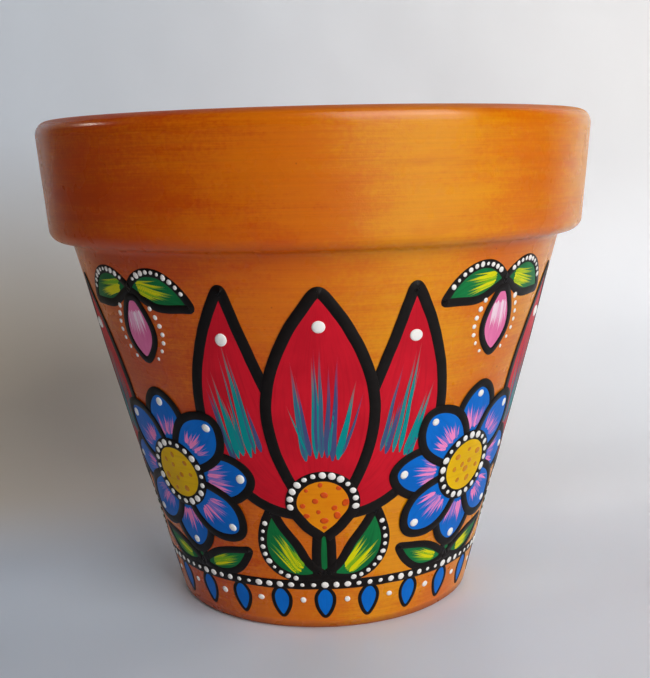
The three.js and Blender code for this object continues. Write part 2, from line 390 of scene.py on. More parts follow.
class FlatDrawing:
    """Collects flat shapes of one finish, and makes them one mesh for a geometry tree."""

    POINTED = 1e-6

    def __init__(self, name: str) -> None:
        """Start an empty drawing.

        Args:
            name: The name of the mesh that it makes.
        """
        self.name = name
        self.points: list[tuple[float, float, float]] = []
        self.edges: list[tuple[int, int]] = []
        self.faces: list[tuple[int, ...]] = []
        self.uvs: list[tuple[float, float]] = []
        self.marks: dict[str, list[float]] = {"size": [], "turn": [], "width": []}

    def put(
        self, point: Vector, layer: float, uv: tuple[float, float] = (0.0, 0.0), **marks: float
    ) -> int:
        """Add a point.

        Args:
            point: Its place on the flat wall.
            layer: Its height above the ground coat.
            uv: Its place along and across its own shape, in metres.
            **marks: What grows from it: a dot's size, or a stroke's size, turn and width.

        Returns:
            The point's number.
        """
        self.points.append((point.x, point.y, layer))
        self.uvs.append(uv)
        for name, values in self.marks.items():
            values.append(marks.get(name, 0.0))
        return len(self.points) - 1

    def blade(self, blade: Blade, layer: float, along: int = 22, across: int = 10) -> None:
        """Fill a blade with a grid of faces.

        Args:
            blade: The shape.
            layer: Its height above the ground coat.
            along: Faces along it.
            across: Faces across it.
        """
        length = (blade.bend - blade.start).length + (blade.tip - blade.bend).length
        rows: list[list[int]] = []
        for i in range(along + 1):
            t = (1 - math.cos(math.pi * i / along)) / 2
            pointed = blade.width(t) < self.POINTED
            sides = [0.0] if pointed else [2 * j / across - 1 for j in range(across + 1)]
            rows.append(
                [self.put(blade.point(t, s), layer, (t * length, s * blade.half_width)) for s in sides]
            )
        for low, high in zip(rows, rows[1:]):
            for j in range(across):
                corners = [low[min(j, len(low) - 1)], low[min(j + 1, len(low) - 1)]]
                corners += [high[min(j + 1, len(high) - 1)], high[min(j, len(high) - 1)]]
                self.faces.append(tuple(dict.fromkeys(corners)))

    def patch(self, outline: list[Vector], centre: Vector, layer: float, rings: int = 6) -> None:
        """Fill an outline with rings of faces round a centre.

        Args:
            outline: The outline's points, counter-clockwise.
            centre: A point that sees the whole outline.
            layer: Its height above the ground coat.
            rings: How many rings it has.
        """
        hub = self.put(centre, layer, tuple(centre))
        count = len(outline)
        inner: list[int] = []
        for k in range(1, rings + 1):
            places = [centre + (p - centre) * (k / rings) for p in outline]
            ring = [self.put(p, layer, tuple(p)) for p in places]
            for i in range(count):
                j = (i + 1) % count
                if inner:
                    self.faces.append((inner[i], ring[i], ring[j], inner[j]))
                else:
                    self.faces.append((hub, ring[i], ring[j]))
            inner = ring

    def path(self, points: list[Vector], layer: float, closed: bool = False) -> None:
        """Draw a path for a brush line.

        Args:
            points: The path's points.
            layer: Its height above the ground coat.
            closed: Whether its last point joins the first.
        """
        chain = [self.put(p, layer) for p in points]
        self.edges += list(zip(chain, chain[1:] + (chain[:1] if closed else [])))

    def outline(self, blade: Blade, layer: float) -> None:
        """Draw the brush line round a blade."""
        self.path(blade.outline(), layer, closed=True)

    def dot(self, place: Vector, diameter: float, layer: float) -> None:
        """Mark the place of one dot."""
        self.put(place, layer, size=diameter)

    def stroke(self, start: Vector, end: Vector, width: float, layer: float) -> None:
        """Mark one bristle stroke, which starts at its full width and runs out to a point."""
        run = end - start
        self.put(start, layer, size=run.length, turn=math.atan2(run.y, run.x), width=width)

    def mesh(self) -> Mesh:
        """Make the mesh of everything drawn so far.

        Returns:
            The mesh, with the dots' and strokes' sizes as attributes of its points.
        """
        mesh = bpy.data.meshes.new(self.name)
        mesh.from_pydata(self.points, self.edges, self.faces)
        layer = mesh.uv_layers.new(name="UVMap") if self.faces else None
        for loop in mesh.loops if layer else ():
            layer.data[loop.index].uv = self.uvs[loop.vertex_index]
        for name, values in self.marks.items():
            attribute = mesh.attributes.new(name, "FLOAT", "POINT")
            attribute.data.foreach_set("value", values)
        return mesh


# Geometry trees


class GrowthSketch(NodeSketch):
    """A geometry tree, with the steps that several of them take."""

    GEOMETRY = "NodeSocketGeometry"
    MATERIAL = "NodeSocketMaterial"

    @classmethod
    def start(cls, name: str, inputs: dict) -> "GrowthSketch":
        """Start a tree with a geometry as its first input and its only output."""
        given = {"Geometry": cls.GEOMETRY, **inputs}
        return cls.group(name, "GeometryNodeTree", given, {"Geometry": cls.GEOMETRY})

    def position(self) -> NodeSocket:
        """Read where each point is."""
        return self.get("GeometryNodeInputPosition")

    def mark(self, name: str, kind: str = "FLOAT") -> NodeSocket:
        """Read one of the marks that a drawing or a section keeps on its points."""
        return self.get("GeometryNodeInputNamedAttribute", {"Name": name}, data_type=kind)

    def chance(self, low: object, high: object, shift: int) -> NodeSocket:
        """Draw a random value for each point.

        Args:
            low: The least value.
            high: The greatest value.
            shift: What is added to the tree's Seed, so that each draw is another one.

        Returns:
            The value.
        """
        seed = self.plus(self.given["Seed"], float(shift))
        feeds = {"Min": low, "Max": high, "Seed": seed}
        return self.get("FunctionNodeRandomValue", feeds, data_type="FLOAT")

    def moved(self, geometry: NodeSocket, **where: NodeSocket) -> NodeSocket:
        """Move each point to a Position, or by an Offset."""
        return self.get("GeometryNodeSetPosition", {"Geometry": geometry, **where})

    def swayed(self, geometry: NodeSocket, at: NodeSocket, scale: float, detail: float) -> NodeSocket:
        """Sway each point over the flat wall, as far as the tree's Wander.

        Args:
            geometry: What sways.
            at: The place that the sway's noise is read at.
            scale: How many swells the noise has in each metre.
            detail: How many finer layers it has.

        Returns:
            The swayed geometry.
        """
        swell = self.add("ShaderNodeTexNoise", {"Vector": at, "Scale": scale, "Detail": detail})
        centred = self.vector_math("SUBTRACT", swell.outputs[1], (0.5, 0.5, 0.5))
        far = self.times(self.given["Wander"], 2.0)
        offset = self.vector_math("MULTIPLY", centred, self.combine(far, far, 0.0))
        return self.moved(geometry, Offset=offset)

    def merged(self, geometry: NodeSocket, distance: float) -> NodeSocket:
        """Merge the points that meet, and shade the faces smooth."""
        whole = self.get("GeometryNodeMergeByDistance", {"Geometry": geometry, "Distance": distance})
        return self.get("GeometryNodeSetShadeSmooth", {"Geometry": whole})

    def end(self, geometry: NodeSocket) -> NodeTree:
        """End the tree, and return it."""
        self.give(Geometry=geometry)
        return self.tree

    def dressed(self, geometry: NodeSocket) -> NodeTree:
        """End the tree with one real mesh in its Material.

        Args:
            geometry: What the tree has grown.

        Returns:
            The tree.
        """
        real = self.get("GeometryNodeRealizeInstances", {0: geometry})
        feeds = {"Geometry": real, "Material": self.given["Material"]}
        return self.end(self.get("GeometryNodeSetMaterial", feeds))


class BrushTrees:
    """The geometry trees that turn the clay and grow the painted work."""

    def __init__(self, sizes: PotSizes) -> None:
        """Build the trees once.

        Args:
            sizes: The pot's sizes, which the wrap on the wall starts from.
        """
        self.sizes = sizes
        self.wrap = self._wrap_on_wall()
        self.shell = self._closed_film()
        self.turning = self._turned_body()
        self.film = self._painted_film()
        self.line = self._brush_line()
        self.dots = self._raised_dots()
        self.strokes = self._bristle_strokes()

    def _painted(self, name: str, inputs: dict) -> GrowthSketch:
        """Start a tree for painted work, with the inputs that wrap it on the wall.

        Args:
            name: The tree's name.
            inputs: Its own inputs' default values by name.

        Returns:
            The sketch of the tree.
        """
        wrapping = {
            "Foot To Apex": self.sizes.foot_to_apex,
            "Wall Slope": self.sizes.wall_slope,
            "Turn": 0.0,
            "Lift": self.sizes.coat_lift,
            "Material": GrowthSketch.MATERIAL,
        }
        return GrowthSketch.start(name, {**inputs, **wrapping})

    def _wrapped(self, sketch: GrowthSketch, geometry: NodeSocket) -> NodeTree:
        """Make instances real, wrap them on the wall and end the tree.

        Args:
            sketch: The tree.
            geometry: What it has grown on the flat wall.

        Returns:
            The tree.
        """
        real = sketch.get("GeometryNodeRealizeInstances", {0: geometry})
        names = ("Foot To Apex", "Wall Slope", "Turn", "Lift")
        feeds = {"Geometry": real, **{name: sketch.given[name] for name in names}}
        return sketch.dressed(sketch.use(self.wrap, feeds).outputs[0])

    def _thickened(self, sketch: GrowthSketch, sheet: NodeSocket) -> NodeSocket:
        """Make a flat sheet a closed film of the tree's Thickness."""
        feeds = {"Geometry": sheet, "Thickness": sketch.given["Thickness"]}
        return sketch.use(self.shell, feeds).outputs[0]

    @staticmethod
    def _wrap_on_wall() -> NodeTree:
        """Build the group that wraps a flat drawing on the cone of the wall.

        Returns:
            The group.
        """
        inputs = {"Foot To Apex": 0.23, "Wall Slope": 0.25, "Turn": 0.0, "Lift": 0.0}
        sketch = GrowthSketch.start("wrap on wall", inputs)
        sheet, foot_to_apex, slope, turn, lift = (sketch.given[name] for name in ("Geometry", *inputs))
        x, y, height = sketch.separate(sketch.position())
        sine = sketch.math("SINE", slope)
        cosine = sketch.math("COSINE", slope)
        reach = sketch.plus(foot_to_apex, y)
        from_apex = sketch.math("SQRT", sketch.scaled(x, x, sketch.times(reach, reach)))
        fan = sketch.math("DIVIDE", sketch.math("ARCTAN2", x, reach), sine)
        azimuth = sketch.plus(fan, turn)
        out = sketch.plus(height, lift)
        radius = sketch.scaled(from_apex, sine, sketch.times(out, cosine))
        rise = sketch.math("SUBTRACT", from_apex, foot_to_apex)
        z = sketch.math("SUBTRACT", sketch.times(rise, cosine), sketch.times(out, sine))
        across = sketch.times(radius, sketch.math("SINE", azimuth))
        back = sketch.times(radius, sketch.math("COSINE", azimuth))
        place = sketch.combine(across, sketch.times(back, -1.0), z)
        return sketch.end(sketch.moved(sheet, Position=place))

    @staticmethod
    def _closed_film() -> NodeTree:
        """Build the group that makes a flat sheet a closed film with crisp edges.

        Returns:
            The group.
        """
        sketch = GrowthSketch.start("closed film", {"Thickness": 0.04 * MM})
        sheet = sketch.given["Geometry"]
        up = sketch.combine(0.0, 0.0, sketch.given["Thickness"])
        feeds = {"Mesh": sheet, "Offset": up, "Offset Scale": 1.0, "Individual": False}
        raised = sketch.get("GeometryNodeExtrudeMesh", feeds, mode="FACES")
        joined = sketch.add("GeometryNodeJoinGeometry")
        sketch.feed(joined.inputs[0], raised)
        sketch.feed(joined.inputs[0], sketch.get("GeometryNodeFlipFaces", {"Mesh": sheet}))
        smooth = sketch.merged(joined.outputs[0], distance=0.002 * MM)
        corner = sketch.add("GeometryNodeInputMeshEdgeAngle").outputs["Unsigned Angle"]
        least_corner = 0.9
        crisp = sketch.math("GREATER_THAN", corner, least_corner)
        feeds = {"Geometry": smooth, "Selection": crisp, "Shade Smooth": False}
        return sketch.end(sketch.get("GeometryNodeSetShadeSmooth", feeds, domain="EDGE"))

    @staticmethod
    def _turned_body() -> NodeTree:
        """Build the tree that turns a closed section round the pot's axis.

        A section's points hold their radius in x and their height in z. Their slip attribute is
        the way a ragged edge wanders from point to point round the pot.

        Returns:
            The tree.
        """
        inputs = {"Segments": 256, "Wander": 0.0, "Wander Scale": 3.0, "Seed": 0.0}
        inputs["Material"] = GrowthSketch.MATERIAL
        sketch = GrowthSketch.start("turned body", inputs)
        section = sketch.given["Geometry"]
        size = sketch.add("GeometryNodeAttributeDomainSize", {"Geometry": section})
        count = size.outputs["Point Count"]
        feeds = {
            "Size X": 1.0,
            "Size Y": 1.0,
            "Vertices X": sketch.plus(count, 1.0),
            "Vertices Y": sketch.plus(sketch.given["Segments"], 1.0),
        }
        grid = sketch.get("GeometryNodeMeshGrid", feeds)
        px, py, _ = sketch.separate(sketch.position())
        column = sketch.math("ROUND", sketch.times(sketch.plus(px, 0.5), count))
        number = sketch.math("MODULO", column, count)
        azimuth = sketch.times(sketch.plus(py, 0.5), math.tau)
        sine = sketch.math("SINE", azimuth)
        cosine = sketch.math("COSINE", azimuth)

        def sampled(value: NodeSocket) -> NodeSocket:
            """Read a vector of the section at the grid's column."""
            feeds = {"Geometry": section, "Value": value, "Index": number}
            return sketch.get("GeometryNodeSampleIndex", feeds, data_type="FLOAT_VECTOR")

        place = sampled(sketch.position())
        slip = sampled(sketch.mark("slip", "FLOAT_VECTOR"))
        around = sketch.combine(cosine, sine, sketch.given["Seed"])
        feeds = {"Vector": around, "Scale": sketch.given["Wander Scale"], "Detail": 4.0}
        wander = sketch.scaled(sketch.get("ShaderNodeTexNoise", feeds), 2.0, -1.0)
        scale = sketch.times(wander, sketch.given["Wander"])
        pushed = sketch.vector_math("MULTIPLY_ADD", slip, sketch.combine(scale, 0.0, scale), place)
        radius, _, z = sketch.separate(pushed)
        x = sketch.times(radius, sine)
        y = sketch.times(sketch.times(radius, cosine), -1.0)
        turned = sketch.moved(grid, Position=sketch.combine(x, y, z))
        return sketch.dressed(sketch.merged(turned, distance=0.001 * MM))

    def _painted_film(self) -> NodeTree:
        """Build the tree that makes a flat fill a thin film on the wall."""
        sketch = self._painted("painted film", {"Thickness": 0.045 * MM})
        return self._wrapped(sketch, self._thickened(sketch, sketch.given["Geometry"]))

    def _brush_line(self) -> NodeTree:
        """Build the tree that draws a raised, slightly uneven brush line along each path.

        Returns:
            The tree.
        """
        inputs = {
            "Width": 3.8 * MM,
            "Rise": 0.06 * MM,
            "Step": 0.55 * MM,
            "Softness": 6,
            "Unevenness": 0.16,
            "Wander": 0.25 * MM,
            "Seed": 0.0,
        }
        sketch = self._painted("brush line", inputs)
        given = sketch.given
        paths = sketch.get("GeometryNodeMeshToCurve", {"Mesh": given["Geometry"]})
        feeds = {"Curve": paths, "Length": given["Step"]}
        evened = sketch.get("GeometryNodeResampleCurve", feeds, mode="LENGTH")
        position = sketch.position()
        feeds = {"Value": position, "Iterations": given["Softness"]}
        blurred = sketch.get("GeometryNodeBlurAttribute", feeds, data_type="FLOAT_VECTOR")
        eased = sketch.moved(evened, Position=blurred)
        seeded = sketch.vector_math("ADD", position, sketch.combine(0.0, 0.0, given["Seed"]))
        moved = sketch.swayed(eased, seeded, scale=110.0, detail=1.0)
        share = sketch.scaled(sketch.noise(seeded, 190.0, 2.0), 2.0, -1.0)
        feeds = {"Curve": moved, "Radius": sketch.scaled(share, given["Unevenness"], 1.0)}
        varied = sketch.get("GeometryNodeSetCurveRadius", feeds)
        flatways = sketch.add("GeometryNodeSetCurveNormal", {"Curve": varied})
        self._upright(flatways)
        feeds = {"Width": given["Width"], "Height": sketch.times(given["Rise"], 2.0)}
        section = sketch.get("GeometryNodeCurvePrimitiveQuadrilateral", feeds, mode="RECTANGLE")
        feeds = {"Curve": section, "Count": 1, "Radius": sketch.times(given["Rise"], 0.98)}
        rounded = sketch.get("GeometryNodeFilletCurve", feeds, mode="POLY")
        feeds = {"Curve": flatways.outputs[0], "Profile Curve": rounded, "Fill Caps": True}
        return self._wrapped(sketch, sketch.get("GeometryNodeCurveToMesh", feeds))

    @staticmethod
    def _upright(node: bpy.types.Node) -> None:
        """Keep a curve's profile flat on the wall.

        Args:
            node: The node that sets the curve's normal, by a setting or by a menu input.
        """
        if hasattr(node, "mode"):
            node.mode = "Z_UP"
        else:
            node.inputs["Mode"].default_value = "Z Up"

    def _raised_dots(self) -> NodeTree:
        """Build the tree that sets a raised dot on each point of a drawing.

        Returns:
            The tree.
        """
        inputs = {"Rise": 0.26, "Unevenness": 0.12, "Oval": 0.18, "Segments": 12, "Rings": 5, "Seed": 0}
        sketch = self._painted("raised dots", inputs)
        given = sketch.given
        feeds = {"Segments": given["Segments"], "Rings": given["Rings"], "Radius": 0.5}
        drop = sketch.get("GeometryNodeMeshUVSphere", feeds)
        least = sketch.math("SUBTRACT", 1.0, given["Unevenness"])
        most = sketch.plus(1.0, given["Unevenness"])
        wide = sketch.times(sketch.mark("size"), sketch.chance(least, most, 0))
        stretch = sketch.plus(1.0, given["Oval"])
        long = sketch.times(wide, sketch.chance(1.0, stretch, 50))
        tall = sketch.times(wide, given["Rise"])
        feeds = {
            "Points": given["Geometry"],
            "Instance": sketch.get("GeometryNodeSetShadeSmooth", {"Geometry": drop}),
            "Rotation": sketch.combine(0.0, 0.0, sketch.chance(0.0, math.pi, 90)),
            "Scale": sketch.combine(wide, long, tall),
        }
        return self._wrapped(sketch, sketch.get("GeometryNodeInstanceOnPoints", feeds))

    def _bristle_strokes(self) -> NodeTree:
        """Build the tree that lays a tapering bristle stroke from each point of a drawing.

        Returns:
            The tree.
        """
        inputs = {"Thickness": 0.02 * MM, "Along": 15, "Wander": 0.5 * MM, "Seed": 0}
        sketch = self._painted("bristle strokes", inputs)
        feeds = {"Size X": 1.0, "Size Y": 1.0, "Vertices X": sketch.given["Along"], "Vertices Y": 3}
        strip = sketch.add("GeometryNodeMeshGrid", feeds)
        px, py, _ = sketch.separate(sketch.position())
        t = sketch.plus(px, 0.5)
        heel = sketch.math("SQRT", sketch.spread(t, -0.02, 0.14))
        tip = sketch.math("POWER", sketch.math("SUBTRACT", 1.03, t), 0.85)
        wide = sketch.times(sketch.times(heel, tip), py)
        tapered = sketch.moved(strip.outputs[0], Position=sketch.combine(t, wide, 0.0))
        store = "GeometryNodeStoreNamedAttribute"
        feeds = {"Geometry": tapered, "Name": "UVMap", "Value": strip.outputs["UV Map"]}
        mapped = sketch.get(store, feeds, data_type="FLOAT2", domain="CORNER")
        size, turn, width = (sketch.mark(name) for name in ("size", "turn", "width"))
        feeds = {
            "Points": sketch.given["Geometry"],
            "Instance": mapped,
            "Rotation": sketch.combine(0.0, 0.0, turn),
            "Scale": sketch.combine(size, width, 1.0),
        }
        placed = sketch.get("GeometryNodeInstanceOnPoints", feeds)
        feeds = {"Geometry": placed, "Name": "load", "Value": sketch.chance(0.0, 1.0, 0)}
        loaded = sketch.get(store, feeds, data_type="FLOAT", domain="INSTANCE")
        real = sketch.get("GeometryNodeRealizeInstances", {0: loaded})
        swayed = sketch.swayed(real, sketch.position(), scale=70.0, detail=0.0)
        return self._wrapped(sketch, self._thickened(sketch, swayed))


def grow(name: str, start: Mesh, tree: NodeTree, values: dict) -> Object:
    """Run a geometry tree on a mesh and keep the result as a plain mesh.

    Args:
        name: The finished piece's name.
        start: The mesh that the tree starts from.
        tree: The geometry tree.
        values: The tree's inputs, by name.

    Returns:
        The piece, at the origin, with no modifier left on it.
    """
    draft = bpy.data.objects.new(f"{name}_draft", start)
    bpy.context.scene.collection.objects.link(draft)
    modifier = draft.modifiers.new(name, "NODES")
    modifier.node_group = tree
    for item in tree.interface.items_tree:
        if item.item_type == "SOCKET" and item.in_out == "INPUT" and item.name in values:
            modifier[item.identifier] = values[item.name]
    depsgraph = bpy.context.evaluated_depsgraph_get()
    mesh = bpy.data.meshes.new_from_object(
        draft.evaluated_get(depsgraph), preserve_all_data_layers=True, depsgraph=depsgraph
    )
    mesh.name = name
    bpy.data.objects.remove(draft)
    bpy.data.meshes.remove(start)
    piece = bpy.data.objects.new(name, mesh)
    bpy.context.scene.collection.objects.link(piece)
    return piece


# Finishes


def linear(red: int, green: int, blue: int) -> tuple[float, float, float, float]:
    """Turn a colour as a screen shows it into the values that a shader takes.

    Args:
        red: Its red, 0 to 255.
        green: Its green.
        blue: Its blue.

    Returns:
        The colour in linear light, with its alpha.
    """

    def one(value: int) -> float:
        """Turn one of its three values."""
        share = value / 255
        return share / 12.92 if share <= 0.04045 else ((share + 0.055) / 1.055) ** 2.4

    return (one(red), one(green), one(blue), 1.0)


class SurfaceGroups:
    """The shader groups that several finishes use."""

    def __init__(self) -> None:
        """Build each group once."""
        self.round = self._round_the_pot()
        self.brushwork = self._brushwork()
        self.ripple = self._varnish_ripple()

    @staticmethod
    def _round_the_pot() -> NodeTree:
        """Build the group whose coordinates run round the pot with no seam.

        Its vector's first two values move slowly round the pot, and its third moves up the
        wall and across the rim's top.

        Returns:
            The group.
        """
        inputs = {"Vector": Vector((0, 0, 0)), "Radius": 90 * MM}
        outputs = {"Vector": "NodeSocketVector", "Reach": "NodeSocketFloat"}
        sketch = NodeSketch.group("round the pot", "ShaderNodeTree", inputs, outputs)
        x, y, z = sketch.separate(sketch.given["Vector"])
        squares = sketch.scaled(x, x, sketch.times(y, y))
        reach = sketch.math("MAXIMUM", sketch.math("SQRT", squares), 0.1 * MM)
        share = sketch.math("DIVIDE", sketch.given["Radius"], reach)
        around = (sketch.times(x, share), sketch.times(y, share))
        sketch.give(Vector=sketch.combine(*around, sketch.plus(z, reach)), Reach=reach)
        return sketch.tree

    @staticmethod
    def _brushwork() -> NodeTree:
        """Build the group of bristle streaks, drawn out along a stroke and fine across it.

        Returns:
            The group.
        """
        inputs = {
            "Vector": Vector((0, 0, 0)),
            "Stroke Length": 40 * MM,
            "Bristle Width": 1.2 * MM,
            "Detail": 4.0,
        }
        outputs = {"Streak": "NodeSocketFloat"}
        sketch = NodeSketch.group("brushwork", "ShaderNodeTree", inputs, outputs)
        along = sketch.math("DIVIDE", 1.0, sketch.given["Stroke Length"])
        across = sketch.math("DIVIDE", 1.0, sketch.given["Bristle Width"])
        scaled = sketch.vector_math(
            "MULTIPLY", sketch.given["Vector"], sketch.combine(along, along, across)
        )
        feeds = {
            "Vector": scaled,
            "Scale": 1.0,
            "Detail": sketch.given["Detail"],
            "Roughness": 0.6,
            "Distortion": 0.4,
        }
        sketch.give(Streak=sketch.get("ShaderNodeTexNoise", feeds))
        return sketch.tree

    @staticmethod
    def _varnish_ripple() -> NodeTree:
        """Build the group of fine tooth and soft ripple that the varnish keeps.

        Returns:
            The group.
        """
        inputs = {"Vector": Vector((0, 0, 0)), "Tooth": 0.5}
        outputs = {"Height": "NodeSocketFloat", "Shine": "NodeSocketFloat"}
        sketch = NodeSketch.group("varnish ripple", "ShaderNodeTree", inputs, outputs)
        ripple = sketch.noise(sketch.given["Vector"], 260.0, 2.0)
        tooth = sketch.noise(sketch.given["Vector"], 1900.0, 2.0)
        height = sketch.scaled(tooth, sketch.given["Tooth"], ripple)
        sketch.give(Height=height, Shine=sketch.noise(sketch.given["Vector"], 55.0, 3.0))
        return sketch.tree

    def streaks(
        self, sketch: NodeSketch, vector: object, length: float, width: float, detail: float = 4.0
    ) -> NodeSocket:
        """Read bristle streaks at a vector that runs along them in x and y, and across in z."""
        feeds = {"Vector": vector, "Stroke Length": length, "Bristle Width": width, "Detail": detail}
        return sketch.use(self.brushwork, feeds).outputs[0]

    def varnished(self, sketch: "FinishSketch", tooth: float, low: float, high: float) -> NodeSocket:
        """Give a material the varnish's uneven gloss.

        Args:
            sketch: The material.
            tooth: How strong the fine tooth is.
            low: Roughness where it shines most.
            high: Roughness where it shines least.

        Returns:
            The height of the varnish's ripple.
        """
        varnish = sketch.use(self.ripple, {"Vector": sketch.place, "Tooth": tooth})
        sketch.gloss(sketch.spread(varnish.outputs["Shine"], 0.3, 0.7, low, high))
        return varnish.outputs["Height"]


class FinishSketch(NodeSketch):
    """A material with its Principled shader and its object coordinates in place."""

    def __init__(self, name: str, **shader: object) -> None:
        """Start a material.

        Args:
            name: The material's name.
            **shader: Plain values for the shader's own sockets, with underscores for blanks.
        """
        self.material = bpy.data.materials.new(name)
        self.material.use_nodes = True
        super().__init__(self.material.node_tree)
        self.shader = self.tree.nodes["Principled BSDF"]
        for key, value in shader.items():
            self.shader.inputs[key.replace("_", " ")].default_value = value
        self.place = self.add("ShaderNodeTexCoord").outputs["Object"]

    def colour(self, value: object) -> None:
        """Feed the shader's base colour."""
        self.feed(self.shader.inputs["Base Color"], value)

    def gloss(self, value: object) -> None:
        """Feed the shader's roughness."""
        self.feed(self.shader.inputs["Roughness"], value)

    def relief(self, height: object, distance: float, strength: float = 1.0) -> None:
        """Feed the shader's normal from a height, where 1 stands out by the distance."""
        feeds = {"Strength": strength, "Distance": distance, "Height": height}
        self.feed(self.shader.inputs["Normal"], self.get("ShaderNodeBump", feeds))


class Finish:
    """What every finish can do."""

    def material(self, groups: SurfaceGroups) -> Material:
        """Make the material.

        Args:
            groups: The shared shader groups.

        Returns:
            The material.
        """
        raise NotImplementedError


@dataclass(frozen=True)
class GroundFinish(Finish):
    """Orange acrylic wiped round the pot in thin coats, golden to burnt, under satin varnish.

    Each wipe has its azimuth in degrees, how narrow it is, and the warmth that it adds there
    and on the opposite side: golden where it is warm, burnt where it isn't. The wipes are partly
    the coat's own wiping and partly painted light and shade: golden on the front's right, where
    the window lamp falls, burnt with painted shade on its left, and the back repeats the front.
    The pot's sizes place the painted shade along the lip and in the crease under the rim.
    """

    sizes: PotSizes
    golden: tuple = linear(232, 149, 3)
    orange: tuple = linear(220, 112, 2)
    burnt: tuple = linear(198, 70, 0)
    umber: tuple = linear(150, 46, 0)
    wipes_and_painted_light: tuple = ((22, 24, 0.39), (14, 3, 0.45), (76, 10, 0.85), (105, 30, 0.35))
    unwiped_and_shaded: float = -0.42

    def material(self, groups: SurfaceGroups) -> Material:
        """Make the coat's material: wiped round the pot, with painted shade at the lip and crease."""
        sketch = FinishSketch("orange ground coat", Specular_IOR_Level=0.3)
        turned = sketch.use(groups.round, {"Vector": sketch.place})
        # Painted light and shade, partly real wiping: the front golden on its lit right, burnt on its
        # left.
        facing = self._facing(sketch, turned.outputs["Reach"])
        top = self.sizes.height

        def streaks(length: float, width: float, detail: float) -> NodeSocket:
            """Bristle streaks that run round the pot."""
            return groups.streaks(sketch, turned.outputs["Vector"], length, width, detail)

        cloud = sketch.scaled(streaks(80 * MM, 34 * MM, 3.0), 0.8, -0.4)
        band = sketch.scaled(streaks(90 * MM, 6 * MM, 3.0), 0.3, -0.15)
        bristle = streaks(110 * MM, 0.7 * MM, 2.0)
        hairs = streaks(11 * MM, 0.5 * MM, 2.0)
        hair = sketch.scaled(hairs, 0.4, -0.2)
        grain = sketch.scaled(sketch.noise(sketch.place, 800.0, 3.0), 0.44, -0.22)
        fine = sketch.plus(hair, grain)
        drift = sketch.plus(sketch.plus(cloud, band), fine)
        warmth = sketch.plus(facing, drift)
        first = sketch.blend(sketch.spread(warmth, -0.42, 0.0), self.burnt, self.orange)
        golden_share = sketch.spread(warmth, 0.03, 0.46)
        x, _, z = sketch.separate(sketch.place)
        # Near the lip the coat is less golden, except towards +X.
        near_lip = sketch.spread(z, top - 4.5 * MM, top - 1.5 * MM)
        lip_less_golden = sketch.times(near_lip, sketch.spread(x, 50 * MM, 72 * MM, -0.5, 0.0))
        golden = sketch.scaled(lip_less_golden, golden_share, golden_share)
        wiped = sketch.blend(golden, first, self.golden)
        stain = sketch.spread(streaks(34 * MM, 12 * MM, 4.0), 0.52, 0.78, 0.0, 0.4)
        stained = sketch.blend(stain, wiped, self.burnt)
        thread = sketch.spread(bristle, 0.35, 0.7, 0.0, 0.12)
        threaded = sketch.blend(thread, stained, self.umber)
        # Painted shade in the crease under the rim, fainter on the lit side.
        crease_shaded = sketch.blend(self._crease_shade(sketch, facing), threaded, self.burnt)
        # Painted shade: a dark line along the top of the lip, faint towards +X, where the lamp falls.
        lip = sketch.spread(z, top - 1.2 * MM, top)
        lip_shade = sketch.spread(x, 55 * MM, 85 * MM, 0.4, 0.04)
        lip_shaded = sketch.blend(sketch.times(lip, lip_shade), crease_shaded, self.umber)
        cells = sketch.add("ShaderNodeTexVoronoi", {"Vector": sketch.place, "Scale": 90.0})
        pit = sketch.spread(cells.outputs["Distance"], 0.02, 0.045, 0.7, 0.0)
        sketch.colour(sketch.blend(pit, lip_shaded, self.umber))
        varnish = sketch.use(groups.ripple, {"Vector": sketch.place, "Tooth": 0.9})
        shine = sketch.spread(varnish.outputs["Shine"], 0.3, 0.7, 0.24, 0.33)
        pooled = sketch.spread(z, top - 7 * MM, top - 3 * MM, 0.0, -0.08)
        dulled = sketch.spread(z, top - 1.5 * MM, top + 0.3 * MM, 0.0, 0.3)
        sketch.gloss(sketch.plus(sketch.plus(shine, pooled), dulled))
        brushed = sketch.scaled(hairs, 0.7, varnish.outputs["Height"])
        sketch.relief(sketch.scaled(bristle, 0.8, brushed), 0.035 * MM)
        return sketch.material

    def _facing(self, sketch: FinishSketch, reach: NodeSocket) -> NodeSocket:
        """Warmth that the wiping and the painted light and shade give each side of the pot.

        Args:
            sketch: The material.
            reach: Distance from the pot's axis.

        Returns:
            A value below zero on the burnt sides and above it on the golden ones.
        """
        x, y, _ = sketch.separate(sketch.place)
        # Each lobe adds painted light as well as wiping; where none reaches, the coat is burnt and
        # shaded.
        warmth = self.unwiped_and_shaded
        for azimuth, narrowness, weight in self.wipes_and_painted_light:
            turn = math.radians(azimuth)
            across = sketch.times(x, math.sin(turn))
            toward = sketch.scaled(y, -math.cos(turn), across)
            cosine = sketch.math("ABSOLUTE", sketch.math("DIVIDE", toward, reach))
            lobe = sketch.math("POWER", cosine, narrowness)
            warmth = sketch.scaled(lobe, weight, warmth)
        return warmth

    def _crease_shade(self, sketch: FinishSketch, facing: NodeSocket) -> NodeSocket:
        """Mask of the painted shade in the crease under the rim.

        Args:
            sketch: The material.
            facing: The wiped warmth and painted light, which makes the painted shade fainter.

        Returns:
            The mask, 0 to 1.
        """
        _, _, z = sketch.separate(sketch.place)
        low = self.sizes.rim_underside
        above = sketch.spread(z, low, low + 9 * MM, 1.0, 0.0)
        below = sketch.spread(z, low - 12 * MM, low, 0.0, 1.0)
        near = sketch.times(above, below)
        patch = sketch.spread(sketch.noise(sketch.place, 26.0, 3.0), 0.36, 0.66)
        strength = sketch.spread(facing, -0.3, 0.2, 0.8, 0.3)
        return sketch.times(sketch.times(near, patch), strength)


